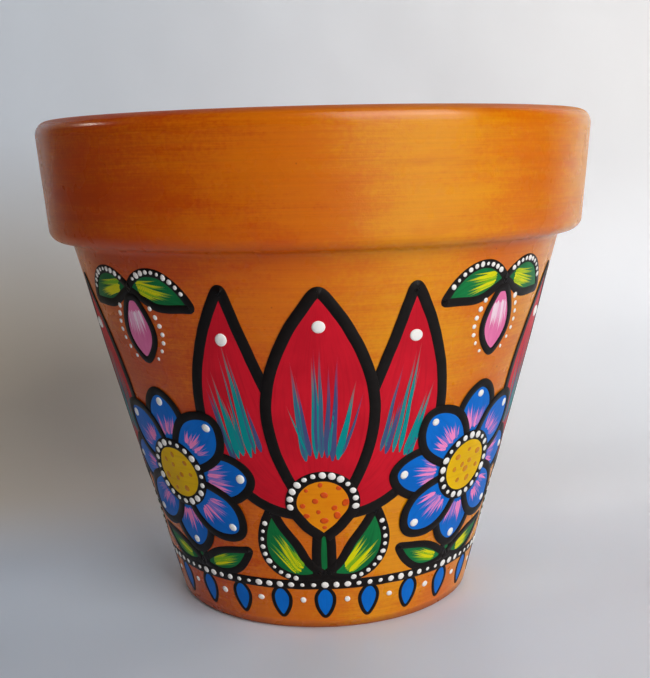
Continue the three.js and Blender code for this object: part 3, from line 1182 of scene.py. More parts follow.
@dataclass(frozen=True)
class ClayFinish(Finish):
    """Bare fired clay with turning rings, fine grog and pale bloom."""

    body: tuple = linear(186, 104, 66)
    deep: tuple = linear(150, 76, 46)
    bloom: tuple = linear(212, 154, 118)

    def material(self, groups: SurfaceGroups) -> Material:
        """Make the material of the bare clay, inside and below."""
        sketch = FinishSketch("fired clay", Specular_IOR_Level=0.3)
        turned = sketch.use(groups.round, {"Vector": sketch.place})
        rings = groups.streaks(sketch, turned.outputs["Vector"], 160 * MM, 1.6 * MM, 3.0)
        cloud = sketch.spread(sketch.noise(sketch.place, 30.0, 5.0), 0.35, 0.7)
        grog = sketch.spread(sketch.noise(sketch.place, 1400.0, 2.0), 0.6, 0.72)
        pale = sketch.spread(sketch.noise(sketch.place, 14.0, 6.0, 0.65), 0.52, 0.72)
        base = sketch.blend(sketch.times(cloud, 0.5), self.body, self.deep)
        ringed = sketch.blend(sketch.times(rings, 0.3), base, self.deep)
        speckled = sketch.blend(sketch.times(grog, 0.35), ringed, self.bloom)
        sketch.colour(sketch.blend(sketch.times(pale, 0.35), speckled, self.bloom))
        sketch.gloss(sketch.spread(cloud, 0.0, 1.0, 0.82, 0.94))
        height = sketch.scaled(rings, 1.6, sketch.noise(sketch.place, 900.0, 4.0))
        sketch.relief(height, 0.14 * MM)
        return sketch.material


@dataclass(frozen=True)
class PaintFinish(Finish):
    """A flat acrylic fill laid on with a soft brush, thinner in places, under satin varnish."""

    name: str
    colour: tuple
    thin: tuple
    streaks: float = 0.4
    roughness: float = 0.4

    def material(self, groups: SurfaceGroups) -> Material:
        """Make the material of a fill, whose own map runs along and across its shape."""
        sketch = FinishSketch(self.name, Specular_IOR_Level=0.12)
        u, v, _ = sketch.separate(sketch.add("ShaderNodeUVMap", uv_map="UVMap").outputs[0])
        streak = groups.streaks(sketch, sketch.combine(u, 0.0, v), 18 * MM, 1.1 * MM)
        patch = sketch.spread(sketch.noise(sketch.place, 70.0, 3.0), 0.38, 0.68)
        streaky = sketch.spread(streak, 0.42, 0.75, 0.0, self.streaks)
        first = sketch.blend(sketch.times(patch, self.streaks), self.colour, self.thin)
        sketch.colour(sketch.blend(streaky, first, self.thin))
        ripple = groups.varnished(sketch, 0.3, self.roughness - 0.05, self.roughness + 0.07)
        sketch.relief(sketch.scaled(streak, 0.8, ripple), 0.045 * MM)
        return sketch.material


@dataclass(frozen=True)
class BodyPaint(Finish):
    """Thick paint for lines and raised dots, mottled a little over its own surface."""

    name: str
    colour: tuple
    shade: tuple
    roughness: float = 0.35
    specular: float = 0.25

    def material(self, groups: SurfaceGroups) -> Material:
        """Make the material of thick paint."""
        sketch = FinishSketch(self.name, Specular_IOR_Level=self.specular)
        mottle = sketch.spread(sketch.noise(sketch.place, 420.0, 3.0), 0.35, 0.7)
        sketch.colour(sketch.blend(sketch.times(mottle, 0.6), self.colour, self.shade))
        ripple = groups.varnished(sketch, 0.25, self.roughness - 0.05, self.roughness + 0.08)
        sketch.relief(ripple, 0.04 * MM)
        return sketch.material


@dataclass(frozen=True)
class DryBrushFinish(Finish):
    """A brush pulled until it runs dry, so that the colour below shows between its bristles.

    Some strokes are loaded and solid. Others are thin, and let the colour below through.
    """

    name: str
    solid: tuple
    thin: tuple
    below: tuple

    def material(self, groups: SurfaceGroups) -> Material:
        """Make the material, whose map runs from 0 at the heel to 1 at the dry end."""
        sketch = FinishSketch(self.name, Specular_IOR_Level=0.12)
        u, v, _ = sketch.separate(sketch.add("ShaderNodeUVMap", uv_map="UVMap").outputs[0])
        load = sketch.add("ShaderNodeAttribute", attribute_name="load").outputs["Fac"]
        lane = sketch.scaled(load, 7.0, v)
        bristle = groups.streaks(sketch, sketch.combine(u, 0.0, lane), 0.9, 0.16, 2.0)
        dryness = sketch.scaled(bristle, 0.9, u)
        cover = sketch.spread(dryness, 1.05, 1.5, 1.0, 0.0)
        edge = sketch.math("ABSOLUTE", sketch.scaled(v, 2.0, -1.0))
        ridge = sketch.times(sketch.times(edge, edge), 0.2)
        body = sketch.plus(load, sketch.scaled(bristle, 0.9, ridge))
        mixed = sketch.blend(sketch.spread(body, 0.7, 1.1), self.thin, self.solid)
        sketch.colour(sketch.blend(cover, self.below, mixed))
        ripple = groups.varnished(sketch, 0.3, 0.36, 0.47)
        sketch.relief(sketch.scaled(bristle, 0.6, ripple), 0.04 * MM)
        return sketch.material


CRIMSON_TONE = linear(213, 22, 44)
DEEP_CRIMSON_TONE = linear(176, 10, 32)
BLUE_TONE = linear(0, 113, 214)
DEEP_BLUE_TONE = linear(0, 88, 180)
GREEN_TONE = linear(16, 124, 64)
DEEP_GREEN_TONE = linear(6, 90, 48)
PINK_TONE = linear(238, 126, 178)
YELLOW_TONE = linear(242, 196, 0)
ORANGE_TONE = linear(240, 148, 12)
BLACK_TONE = linear(14, 9, 8)


class Paint(Enum):
    """The paint box: each finish by the name of what it is used for."""

    CRIMSON = PaintFinish("crimson petal", CRIMSON_TONE, DEEP_CRIMSON_TONE, 0.4)
    BLUE = PaintFinish("blue petal", BLUE_TONE, DEEP_BLUE_TONE, 0.4)
    LEAF = PaintFinish("green leaf", GREEN_TONE, DEEP_GREEN_TONE, 0.6)
    PINK = PaintFinish("pink bud", PINK_TONE, linear(216, 90, 150), 0.4)
    HEART = PaintFinish("orange heart", ORANGE_TONE, linear(226, 118, 6), 0.4)
    YELLOW = PaintFinish("yellow centre", YELLOW_TONE, linear(214, 160, 2), 0.4)
    LINER = BodyPaint("black liner", BLACK_TONE, linear(24, 18, 17), 0.46, 0.14)
    BEAD = BodyPaint("white bead", linear(255, 254, 251), linear(246, 244, 240), 0.34)
    HEART_DOT = BodyPaint("burnt orange dot", linear(224, 84, 4), linear(206, 66, 4), 0.36)
    YELLOW_DOT = BodyPaint("ochre dot", linear(216, 140, 2), linear(196, 116, 2), 0.36)
    TEAL_STROKE = DryBrushFinish("teal stroke", linear(0, 144, 146), linear(72, 80, 128), CRIMSON_TONE)
    PINK_STROKE = DryBrushFinish("pink stroke", linear(250, 142, 204), linear(128, 122, 212), BLUE_TONE)
    LIME_STROKE = DryBrushFinish("lime stroke", linear(226, 222, 8), linear(118, 180, 30), GREEN_TONE)
    PALE_STROKE = DryBrushFinish("pale stroke", linear(252, 224, 238), linear(244, 168, 208), PINK_TONE)


class PaintBox:
    """Mixes each paint once, when it is first asked for."""

    def __init__(self, groups: SurfaceGroups) -> None:
        """Start with no paint mixed."""
        self.groups = groups
        self.mixed: dict[Paint, Material] = {}

    def __getitem__(self, paint: Paint) -> Material:
        """Mix a paint if it isn't mixed yet.

        Args:
            paint: The paint.

        Returns:
            Its material.
        """
        if paint not in self.mixed:
            self.mixed[paint] = paint.value.material(self.groups)
        return self.mixed[paint]


# The clay and its ground coat


@dataclass
class SectionCorner:
    """One corner of a turned section, with the radius of its rounding."""

    radius: float
    z: float
    rounding: float = 0.0
    steps: int = 6

    @property
    def at(self) -> Vector:
        """The corner as a flat vector."""
        return Vector((self.radius, self.z))


def rounded(corners: list[SectionCorner], closed: bool) -> list[Vector]:
    """Draw a section through its corners with their roundings.

    Args:
        corners: The corners in order.
        closed: Whether the last one joins the first.

    Returns:
        The points of the section.
    """
    points: list[Vector] = []
    count = len(corners)
    for i, corner in enumerate(corners):
        ends = not closed and i in (0, count - 1)
        if ends or not corner.rounding:
            points.append(corner.at)
            continue
        back = (corners[i - 1].at - corner.at).normalized()
        onward = (corners[(i + 1) % count].at - corner.at).normalized()
        half = back.angle(onward) / 2
        centre = corner.at + (back + onward).normalized() * corner.rounding / math.sin(half)
        first = corner.at + back * corner.rounding / math.tan(half) - centre
        last = corner.at + onward * corner.rounding / math.tan(half) - centre
        sweep = math.atan2(first.x * last.y - first.y * last.x, first.dot(last))
        for k in range(corner.steps + 1):
            points.append(centre + Matrix.Rotation(sweep * k / corner.steps, 2) @ first)
    return points


def subdivided(points: list[Vector], longest: float, closed: bool) -> list[Vector]:
    """Split the long stretches of a section, so that a turned mesh has even faces.

    Args:
        points: The section's points.
        longest: The longest stretch to leave.
        closed: Whether the last point joins the first.

    Returns:
        The points with more between them.
    """
    finer: list[Vector] = []
    pairs = zip(points, points[1:] + points[:1]) if closed else zip(points, points[1:])
    for here, following in pairs:
        parts = max(1, math.ceil((following - here).length / longest))
        finer += [here.lerp(following, k / parts) for k in range(parts)]
    return finer if closed else finer + [points[-1]]


def moved_out(points: list[Vector], distance: float) -> list[Vector]:
    """Move an open section to its right-hand side, which is outside.

    Args:
        points: The section's points, drawn up the outer face.
        distance: How far it moves.

    Returns:
        The moved points.
    """
    moved = []
    for i, point in enumerate(points):
        before = point - points[i - 1] if i else points[1] - point
        after = points[i + 1] - point if i + 1 < len(points) else before
        before, after = before.normalized(), after.normalized()
        bisector = (before + after).normalized()
        out = Vector((bisector.y, -bisector.x))
        reach = distance / max(bisector.dot(before), 0.5)
        moved.append(point + out * reach)
    return moved


def section_mesh(name: str, points: list[Vector], slips: dict[int, Vector] | None = None) -> Mesh:
    """Make the mesh that the turning tree reads, one point for each place of the section.

    Args:
        name: The mesh's name.
        points: The closed section, radius and height.
        slips: How far the points of a ragged edge may wander, by their number.

    Returns:
        The mesh.
    """
    mesh = bpy.data.meshes.new(name)
    count = len(points)
    edges = [(i, (i + 1) % count) for i in range(count)]
    mesh.from_pydata([(p.x, 0.0, p.y) for p in points], edges, [])
    attribute = mesh.attributes.new("slip", "FLOAT_VECTOR", "POINT")
    for i, slip in (slips or {}).items():
        attribute.data[i].vector = (slip.x, 0.0, slip.y)
    return mesh


@dataclass
class PotBody:
    """The fired clay and the ground coat brushed over its outside, rim and inner lip."""

    sizes: PotSizes
    trees: BrushTrees
    segments: int = 288
    longest_stretch: float = 3.0 * MM
    ragged_edge: float = 5.0 * MM
    coat_thickness: float = 0.55 * MM

    def outer_corners(self) -> list[SectionCorner]:
        """List the corners of the outside.

        Returns:
            The corners, from the crease under the rim to the rim's inner edge.
        """
        s = self.sizes
        return [
            SectionCorner(s.wall_top_radius, s.rim_underside, s.crease_rounding, 8),
            SectionCorner(s.rim_bottom_radius, s.rim_underside, s.rim_lower_rounding, 10),
            SectionCorner(s.rim_top_radius, s.height, 4 * MM, 12),
            SectionCorner(s.rim_top_radius - s.rim_thickness, s.height, 3.5 * MM, 10),
        ]

    def clay(self, material: Material) -> Object:
        """Turn the clay body.

        Args:
            material: The clay's finish.

        Returns:
            The piece.
        """
        s = self.sizes
        ring_inside = s.foot_radius - s.foot_ring_width
        corners = [
            SectionCorner(s.drain_radius, s.foot_recess, 0.9 * MM, 3),
            SectionCorner(ring_inside, s.foot_recess, 0.6 * MM, 3),
            SectionCorner(ring_inside + s.foot_ring_bevel, 0.0, 0.5 * MM, 3),
            SectionCorner(s.foot_radius, 0.0, 1 * MM, 5),
            *self.outer_corners(),
            SectionCorner(s.wall_top_radius - s.wall_thickness, s.rim_underside, 20 * MM, 6),
            SectionCorner(
                s.wall_radius(s.floor_thickness) - s.wall_thickness,
                s.floor_thickness,
                8 * MM,
                8,
            ),
            SectionCorner(s.drain_radius, s.floor_thickness, 1.8 * MM, 5),
        ]
        points = subdivided(rounded(corners, closed=True), self.longest_stretch, closed=True)
        mesh = section_mesh("clay_section", points)
        values = {"Segments": self.segments, "Material": material}
        return grow("fired_clay", mesh, self.trees.turning, values)

    def ground_coat(self, material: Material) -> Object:
        """Brush the ground coat on, with a ragged edge inside the lip.

        Args:
            material: The coat's finish.

        Returns:
            The piece.
        """
        s = self.sizes
        rim_inside = Vector((s.rim_top_radius - s.rim_thickness, s.height))
        crease_inside = Vector((s.wall_top_radius - s.wall_thickness, s.rim_underside))
        down = (crease_inside - rim_inside).normalized()
        end = rim_inside + down * s.coat_inside_depth
        foot = SectionCorner(s.wall_radius(s.coat_foot_edge), s.coat_foot_edge)
        corners = [foot, *self.outer_corners(), SectionCorner(end.x, end.y)]
        path = subdivided(rounded(corners, closed=False), self.longest_stretch, closed=False)
        outer = moved_out(path, s.coat_lift)
        inner = moved_out(path, s.coat_lift - self.coat_thickness)
        taper = 3
        for k in range(taper):
            outer[-1 - k] = outer[-1 - k].lerp(inner[-1 - k], 1 - k / taper - 0.2)
        points = outer + inner[::-1]
        reach = 5
        slips = {}
        for k in range(reach):
            share = (1 - k / reach) * (1 if k < 2 else 1 - k / reach)
            slips[len(outer) - 1 - k] = down * share
            slips[len(outer) + k] = down * share
        mesh = section_mesh("coat_section", points, slips)
        values = {
            "Segments": self.segments,
            "Wander": self.ragged_edge,
            "Wander Scale": 5.0,
            "Seed": 3.7,
            "Material": material,
        }
        return grow("orange_ground_coat", mesh, self.trees.turning, values)


# The frieze


def arc(centre: Vector, radius: float, start: float, end: float, count: int) -> list[Vector]:
    """Points along an arc from one angle to another, both ends included."""
    angles = [start + (end - start) * i / (count - 1) for i in range(count)]
    return [centre + Vector((math.cos(a), math.sin(a))) * radius for a in angles]


def ring(centre: Vector, radius: float, count: int, start: float = 0.0) -> list[Vector]:
    """Points evenly round a whole circle."""
    return arc(centre, radius, start, start + math.tau * (count - 1) / count, count)


def point(x: float, y: float) -> Vector:
    """A point of the flat wall, given in millimetres."""
    return Vector((x, y)) * MM


@dataclass
class Brushwork:
    """Puts finished drawings on the pot as pieces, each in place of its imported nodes."""

    trees: BrushTrees
    paints: PaintBox

    def lay(
        self,
        drawing: FlatDrawing,
        tree: NodeTree,
        paint: Paint,
        turn: float,
        slot: str,
        **values: object,
    ) -> Object:
        """Grow one drawing on the wall.

        Args:
            drawing: The flat drawing.
            tree: The tree that grows it.
            paint: The paint that it is done in.
            turn: How far round the pot it goes, in radians.
            slot: The record's material slot; it is not used.
            **values: The tree's other inputs, with underscores for blanks.

        Returns:
            The piece, riding on the pot.
        """
        inputs = {key.replace("_", " "): value for key, value in values.items()}
        inputs |= {"Turn": turn, "Material": self.paints[paint]}
        piece = grow(drawing.name, drawing.mesh(), tree, inputs)
        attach(piece, "root")
        log.info("%s: %d faces", piece.name, len(piece.data.polygons))
        return piece


@dataclass(frozen=True)
class StrokeFan:
    """How bristle strokes open up a petal or a leaf, from a merged heel to their dry ends.

    Their places are shares: low and high of the blade's length, heel and end of its half width.
    Up to two thin hairs run beside each stroke.
    """

    count: int
    low: float
    high: float
    heel: float
    end: float
    width: float
    hairs: int = 2
    step: float = 0.008 * MM

    def lay(
        self, drawing: FlatDrawing, blade: Blade, layer: float, seed: float, lean: float = 0.0
    ) -> None:
        """Mark the strokes of one petal or leaf.

        Args:
            drawing: The drawing that they go into.
            blade: The petal or leaf.
            layer: Their height above the ground coat.
            seed: What makes one fan differ from the next.
            lean: How far they all lie to the blade's right, as a share of its half width.
        """
        chance = random.Random(seed)
        for i in range(self.count):
            side = 2 * i / (self.count - 1) - 1
            low = self.low + chance.uniform(-0.02, 0.02)
            high = self.high + chance.uniform(-0.11, 0.07) - 0.05 * side * side
            width = self.width * chance.uniform(0.75, 1.15)
            height = layer + self.step * i
            for hair in range(self.hairs + 1):
                slip = 0.09 * (0, 1, -1)[hair] * (-1) ** i
                start = blade.point(low + 0.3 * abs(slip), lean + side * self.heel + slip)
                reach = high - abs(slip) * chance.uniform(0.0, 1.4)
                opened = lean + side * self.end + 1.5 * slip + chance.uniform(-0.04, 0.04)
                end = blade.point(reach, opened)
                share = 0.45 if hair else 1.0
                drawing.stroke(start, end, width * share, height - abs(slip) * self.step)


def fading(size: float, index: int, run: int = 5) -> float:
    """Size of a bead in a run that shrinks until the brush's end is dipped again."""
    return size * (1.2 - 0.1 * (index % run))


def scattered(centre: Vector, radius: float, rows: dict[float, int], seed: int) -> list[Vector]:
    """Places strewn over a disc in loose rings.

    Args:
        centre: The disc's centre.
        radius: Its radius.
        rows: How many places each ring has, by its share of the radius.
        seed: What makes one disc differ from the next.

    Returns:
        The places.
    """
    chance = random.Random(seed)
    places = []
    for share, count in rows.items():
        first = chance.random() * math.tau
        for place in ring(centre, radius * share, count, first):
            slip = Vector((chance.uniform(-1, 1), chance.uniform(-1, 1)))
            places.append(place + slip * 0.07 * radius)
    return places


@dataclass
class Motif:
    """One painted motif of the frieze: which of its repeats it is, and where round the pot."""

    LEAF_DOTS = 10
    LEAF_DOT_SIZE = 1.7 * MM

    brush: Brushwork
    number: int
    turn: float

    def drawings(self, part: str, *kinds: str) -> list[FlatDrawing]:
        """Start one flat drawing of a part for each kind of brush work on it."""
        return [FlatDrawing(f"{part}_{self.number}_{kind}") for kind in kinds]

    def lay_fill(self, drawing: FlatDrawing, paint: Paint, slot: str, part: str) -> None:
        """Lay a part's fill, which takes the place of the part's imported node."""
        piece = self.brush.lay(drawing, self.brush.trees.film, paint, self.turn, slot)
        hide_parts(f"{part}_{self.number}")

    def lay_lines(self, drawing: FlatDrawing, seed: float, **values: object) -> None:
        """Lay black brush lines, with a seed that counts on from the motif's number."""
        values["Seed"] = self.number + seed
        self.brush.lay(drawing, self.brush.trees.line, Paint.LINER, self.turn, "liner", **values)

    def lay_strokes(self, drawing: FlatDrawing, paint: Paint, slot: str, seed: int) -> None:
        """Lay bristle strokes, with a seed that counts on from the motif's number."""
        seed += self.number
        self.brush.lay(drawing, self.brush.trees.strokes, paint, self.turn, slot, Seed=seed)

    def lay_dots(
        self,
        drawing: FlatDrawing,
        seed: int,
        paint: Paint = Paint.BEAD,
        slot: str = "bead_white",
        **values: object,
    ) -> None:
        """Lay dots, with a seed that counts on from the motif's number."""
        values["Seed"] = self.number + seed
        self.brush.lay(drawing, self.brush.trees.dots, paint, self.turn, slot, **values)

    def beaded_leaves(
        self,
        leaf: Blade,
        fan: StrokeFan,
        side: int,
        first: float,
        spacing: float,
        drawings: list[FlatDrawing],
    ) -> None:
        """Draw a leaf and its mirror image, each with dots along one edge.

        Args:
            leaf: The right-hand leaf.
            fan: The lime strokes in each leaf.
            side: The edge of that leaf that has the dots: 1 is its right one, -1 its left one.
            first: The first dot's place, as a share of the leaf's length.
            spacing: The share from dot to dot.
            drawings: Where the fills, outlines, strokes and dots go.
        """
        fill, line, lime, dots = drawings
        for blade, edge in ((leaf, side), (leaf.mirrored(), -side)):
            fill.blade(blade, Tier.FIRST.film)
            line.outline(blade, Tier.FIRST.line)
            fan.lay(lime, blade, Tier.FIRST.stroke, self.number + edge)
            for k in range(self.LEAF_DOTS):
                size = fading(self.LEAF_DOT_SIZE, k + self.number)
                dots.dot(blade.point(first + spacing * k, edge), size, Tier.FIRST.dot)


@dataclass
class Tulip(Motif):
    """An upright tulip with three petals, a round heart, a stem and two leaves."""

    MIDDLE_FAN = StrokeFan(7, 0.23, 0.69, 0.36, 0.66, 2.7 * MM, 1)
    SIDE_FAN = StrokeFan(6, 0.42, 0.79, 0.4, 0.55, 2.4 * MM, 1)
    LEAF_FAN = StrokeFan(5, 0.24, 0.72, 0.42, 0.5, 1.9 * MM)

    heart_centre: Vector = field(default_factory=lambda: point(0, 52))
    heart_radius: float = 10.5 * MM

    def petals(self) -> tuple[list[Blade], Blade]:
        """The two side petals, and the middle petal that covers them."""
        side = Blade(self.heart_centre, point(34.1, 59.9), point(31, 127.4), 14 * MM, 0.52, 0.35, 0.85)
        middle = Blade(self.heart_centre, point(0, 89.9), point(0, 127.9), 17.5 * MM, 0.45, 0.4, 0.85)
        return [side, side.mirrored()], middle

    def heart(self) -> list[Vector]:
        """Draw the heart's outline.

        Returns:
            Its points, from the one below it round its head.
        """
        shoulder = 0.35
        head = arc(self.heart_centre, self.heart_radius, -shoulder, math.pi + shoulder, 26)
        tip = self.heart_centre + point(0, -14)
        side = head[-1].lerp(tip, 0.5) + point(-0.6, -0.4)
        other = Vector((-side.x, side.y))
        return [tip, other, *head, side]

    def build(self) -> None:
        """Paint the whole tulip."""
        self._petals()
        self._heart()
        self._stem()

    def _petals(self) -> None:
        """Paint the petals, their outlines, teal strokes and white dots."""
        n, part = self.number, "tulip_petals"
        sides, middle = self.petals()
        fill, line, teal, dots = self.drawings(part, "paint", "outline", "strokes", "dots")
        for blade, outward in zip(sides, (0.2, -0.2)):
            fill.blade(blade, Tier.SECOND.film, along=30)
            line.outline(blade, Tier.SECOND.line)
            self.SIDE_FAN.lay(teal, blade, Tier.SECOND.stroke, n + outward, outward)
            dots.dot(blade.middle(0.86), 4.3 * MM, Tier.SECOND.dot)
        fill.blade(middle, Tier.THIRD.film, along=30)
        line.outline(middle, Tier.THIRD.line)
        self.MIDDLE_FAN.lay(teal, middle, Tier.THIRD.stroke, n)
        dots.dot(middle.middle(0.84), 4.7 * MM, Tier.THIRD.dot)
        self.lay_fill(fill, Paint.CRIMSON, "crimson", part)
        self.lay_lines(line, 0.0, Softness=10)
        self.lay_strokes(teal, Paint.TEAL_STROKE, "crimson", 0)
        self.lay_dots(dots, 0, Segments=20, Rings=9)

    def _heart(self) -> None:
        """Paint the heart, its burnt orange dots and the beads over its head."""
        n, part, centre = self.number, "tulip_heart", self.heart_centre
        fill, line, warm, beads = self.drawings(part, "paint", "outline", "dots", "beads")
        outline = self.heart()
        fill.patch([outline[0] + point(0, 1.3), *outline[1:]], centre, Tier.FOURTH.film)
        line.path([*outline, outline[0]], Tier.FOURTH.line)
        rows = {0.68: 8, 0.32: 4}
        for place in scattered(centre, self.heart_radius, rows, n):
            warm.dot(place, 2.0 * MM, Tier.FOURTH.film + DOT_LEVEL)
        warm.dot(centre + point(0.4, -9.4), 1.7 * MM, Tier.FOURTH.film + DOT_LEVEL)
        for k, place in enumerate(arc(centre, 10.9 * MM, -0.15, math.pi + 0.15, 13)):
            beads.dot(place, fading(2.2 * MM, k + n), Tier.FOURTH.dot)
        self.lay_fill(fill, Paint.HEART, "heart", part)
        self.lay_lines(line, 0.3)
        self.lay_dots(warm, 0, Paint.HEART_DOT, "heart", **FLAT_DOTS)
        self.lay_dots(beads, 7)

    def _stem(self) -> None:
        """Paint the stem and its two leaves with lime strokes."""
        part = "tulip_stem"
        drawings = self.drawings(part, "paint", "outline", "strokes", "dots")
        fill, line, lime, dots = drawings
        stem = Blade(point(0, 21.6), point(0, 32), point(0, 60), 2.6 * MM, 0.3, 0.9)
        fill.blade(stem, Tier.FIRST.film, along=18, across=4)
        line.outline(stem, Tier.FIRST.line)
        leaf = Blade(point(0, 23.5), point(17.5, 23.5), point(17.5, 49.1), 6.2 * MM, 0.55)
        self.beaded_leaves(leaf, self.LEAF_FAN, 1, 0.26, 0.068, drawings)
        self.lay_fill(fill, Paint.LEAF, "leaf", part)
        self.lay_lines(line, 0.6, Width=3.2 * MM)
        self.lay_strokes(lime, Paint.LIME_STROKE, "leaf", 5)
        self.lay_dots(dots, 11)


@dataclass
class Rosette(Motif):
    """An eight-petalled rosette with a beaded black ring, a yellow centre, stem and leaves."""

    PETAL_FAN = StrokeFan(6, 0.33, 0.68, 0.36, 0.6, 1.6 * MM)
    LEAF_FAN = StrokeFan(4, 0.26, 0.72, 0.35, 0.45, 1.5 * MM)

    centre: Vector = field(default_factory=lambda: point(0, 59))
    petals: int = 8
    ring_radius: float = 11.4 * MM

    def petal(self, i: int) -> Blade:
        """Draw one petal.

        Args:
            i: Its number, counted from the top.

        Returns:
            The petal.
        """
        start, bend, tip = (self.centre + point(0, y) for y in (6.3, 18.6, 31))
        blade = Blade(start, bend, tip, 8.8 * MM, 0.55, 0.5, 0.55)
        return blade.turned(math.tau * i / self.petals, self.centre)

    def build(self) -> None:
        """Paint the whole rosette."""
        self._petals()
        self._centre()
        self._stem()

    def _petals(self) -> None:
        """Paint the petals, every second one over its neighbours."""
        part = "rosette_petals"
        fill, line, pink, dots = self.drawings(part, "paint", "outline", "strokes", "dots")
        for i in range(self.petals):
            tier = Tier.FOURTH if i % 2 else Tier.THIRD
            blade = self.petal(i)
            fill.blade(blade, tier.film, along=20, across=8)
            line.outline(blade, tier.line)
            self.PETAL_FAN.lay(pink, blade, tier.stroke, self.number + 1.3 * i)
            dots.dot(blade.middle(0.84), 2.9 * MM, tier.dot)
        self.lay_fill(fill, Paint.BLUE, "blue", part)
        self.lay_lines(line, 1.3, Width=3.1 * MM)
        self.lay_strokes(pink, Paint.PINK_STROKE, "pink", 9)
        self.lay_dots(dots, 17, Segments=16)

    def _centre(self) -> None:
        """Paint the yellow centre, its ochre dots and the beaded black ring."""
        n, part = self.number, "rosette_centre"
        fill, line, ochre, beads = self.drawings(part, "paint", "ring", "dots", "beads")
        outline = ring(self.centre, self.ring_radius, 40)
        fill.patch(outline, self.centre, Tier.FIFTH.film)
        line.path(outline, Tier.FIFTH.line, closed=True)
        rows = {0.56: 7, 0.2: 3}
        for place in scattered(self.centre, self.ring_radius, rows, n + 40):
            ochre.dot(place, 2.1 * MM, Tier.FIFTH.film + DOT_LEVEL)
        for k, place in enumerate(ring(self.centre, self.ring_radius, 20)):
            beads.dot(place, fading(2.2 * MM, k + n), Tier.FIFTH.dot)
        self.lay_fill(fill, Paint.YELLOW, "yellow", part)
        self.lay_lines(line, 1.6, Width=3.7 * MM)
        self.lay_dots(ochre, 19, Paint.YELLOW_DOT, "yellow", **FLAT_DOTS)
        self.lay_dots(beads, 23)

    def _stem(self) -> None:
        """Paint the short stem and its two low leaves."""
        part = "rosette_stem"
        fill, line, lime = self.drawings(part, "paint", "outline", "strokes")
        stem = Blade(point(0, 21.4), point(0, 27), point(0, 40), 2.2 * MM, 0.3, 0.9)
        fill.blade(stem, Tier.FIRST.film, along=12, across=4)
        line.outline(stem, Tier.FIRST.line)
        leaf = Blade(point(0, 23.3), point(12, 23.3), point(23.5, 31), 4.4 * MM)
        for blade in (leaf, leaf.mirrored()):
            fill.blade(blade, Tier.FIRST.film)
            line.outline(blade, Tier.FIRST.line)
            self.LEAF_FAN.lay(lime, blade, Tier.FIRST.stroke, self.number + blade.tip.x)
        self.lay_fill(fill, Paint.LEAF, "leaf", part)
        self.lay_lines(line, 1.9, Width=2.8 * MM)
        self.lay_strokes(lime, Paint.LIME_STROKE, "leaf", 13)


@dataclass
class HangingBud(Motif):
    """A pink bud that hangs from two leaves under the rim, between rows of white dots."""

    BUD_FAN = StrokeFan(5, 0.2, 0.68, 0.5, 0.45, 1.6 * MM)
    LEAF_FAN = StrokeFan(5, 0.2, 0.7, 0.42, 0.5, 1.7 * MM)
    DOTS_BESIDE = 7

    def build(self) -> None:
        """Paint the bud and its sprig."""
        self._bud()
        self._sprig()

    def _bud(self) -> None:
        """Paint the bud, from its neck down to its tip, between two rows of dots."""
        fill, line, pale, dots = self.drawings("bud", "paint", "outline", "strokes", "dots")
        bud = Blade(point(0, 123.9), point(0, 112.4), point(0, 100.9), 7 * MM, 0.55, 0.3, 0.8)
        fill.blade(bud, Tier.SECOND.film)
        line.outline(bud, Tier.SECOND.line)
        self.BUD_FAN.lay(pale, bud, Tier.SECOND.stroke, self.number)
        for side in (-1, 1):
            for k in range(self.DOTS_BESIDE):
                place = bud.point(0.16 + 0.13 * k, -side) + point(side * 3.9, 0)
                dots.dot(place, (2.0 - 0.12 * k) * MM, Tier.FIRST.dot)
        self.lay_fill(fill, Paint.PINK, "pink", "bud")
        self.lay_lines(line, 2.3, Width=2.6 * MM)
        self.lay_strokes(pale, Paint.PALE_STROKE, "pink", 17)
        self.lay_dots(dots, 29)

    def _sprig(self) -> None:
        """Paint the two leaves with lime strokes and a row of dots along their upper edges."""
        part = "bud_sprig"
        drawings = self.drawings(part, "paint", "outline", "strokes", "dots")
        fill, line, lime, dots = drawings
        leaf = Blade(point(-0.5, 126.9), point(13, 129.9), point(26, 119.9), 6 * MM)
        self.beaded_leaves(leaf, self.LEAF_FAN, -1, 0.16, 0.075, drawings)
        self.lay_fill(fill, Paint.LEAF, "leaf", part)
        self.lay_lines(line, 2.6, Width=3.0 * MM)
        self.lay_strokes(lime, Paint.LIME_STROKE, "leaf", 21)
        self.lay_dots(dots, 31)


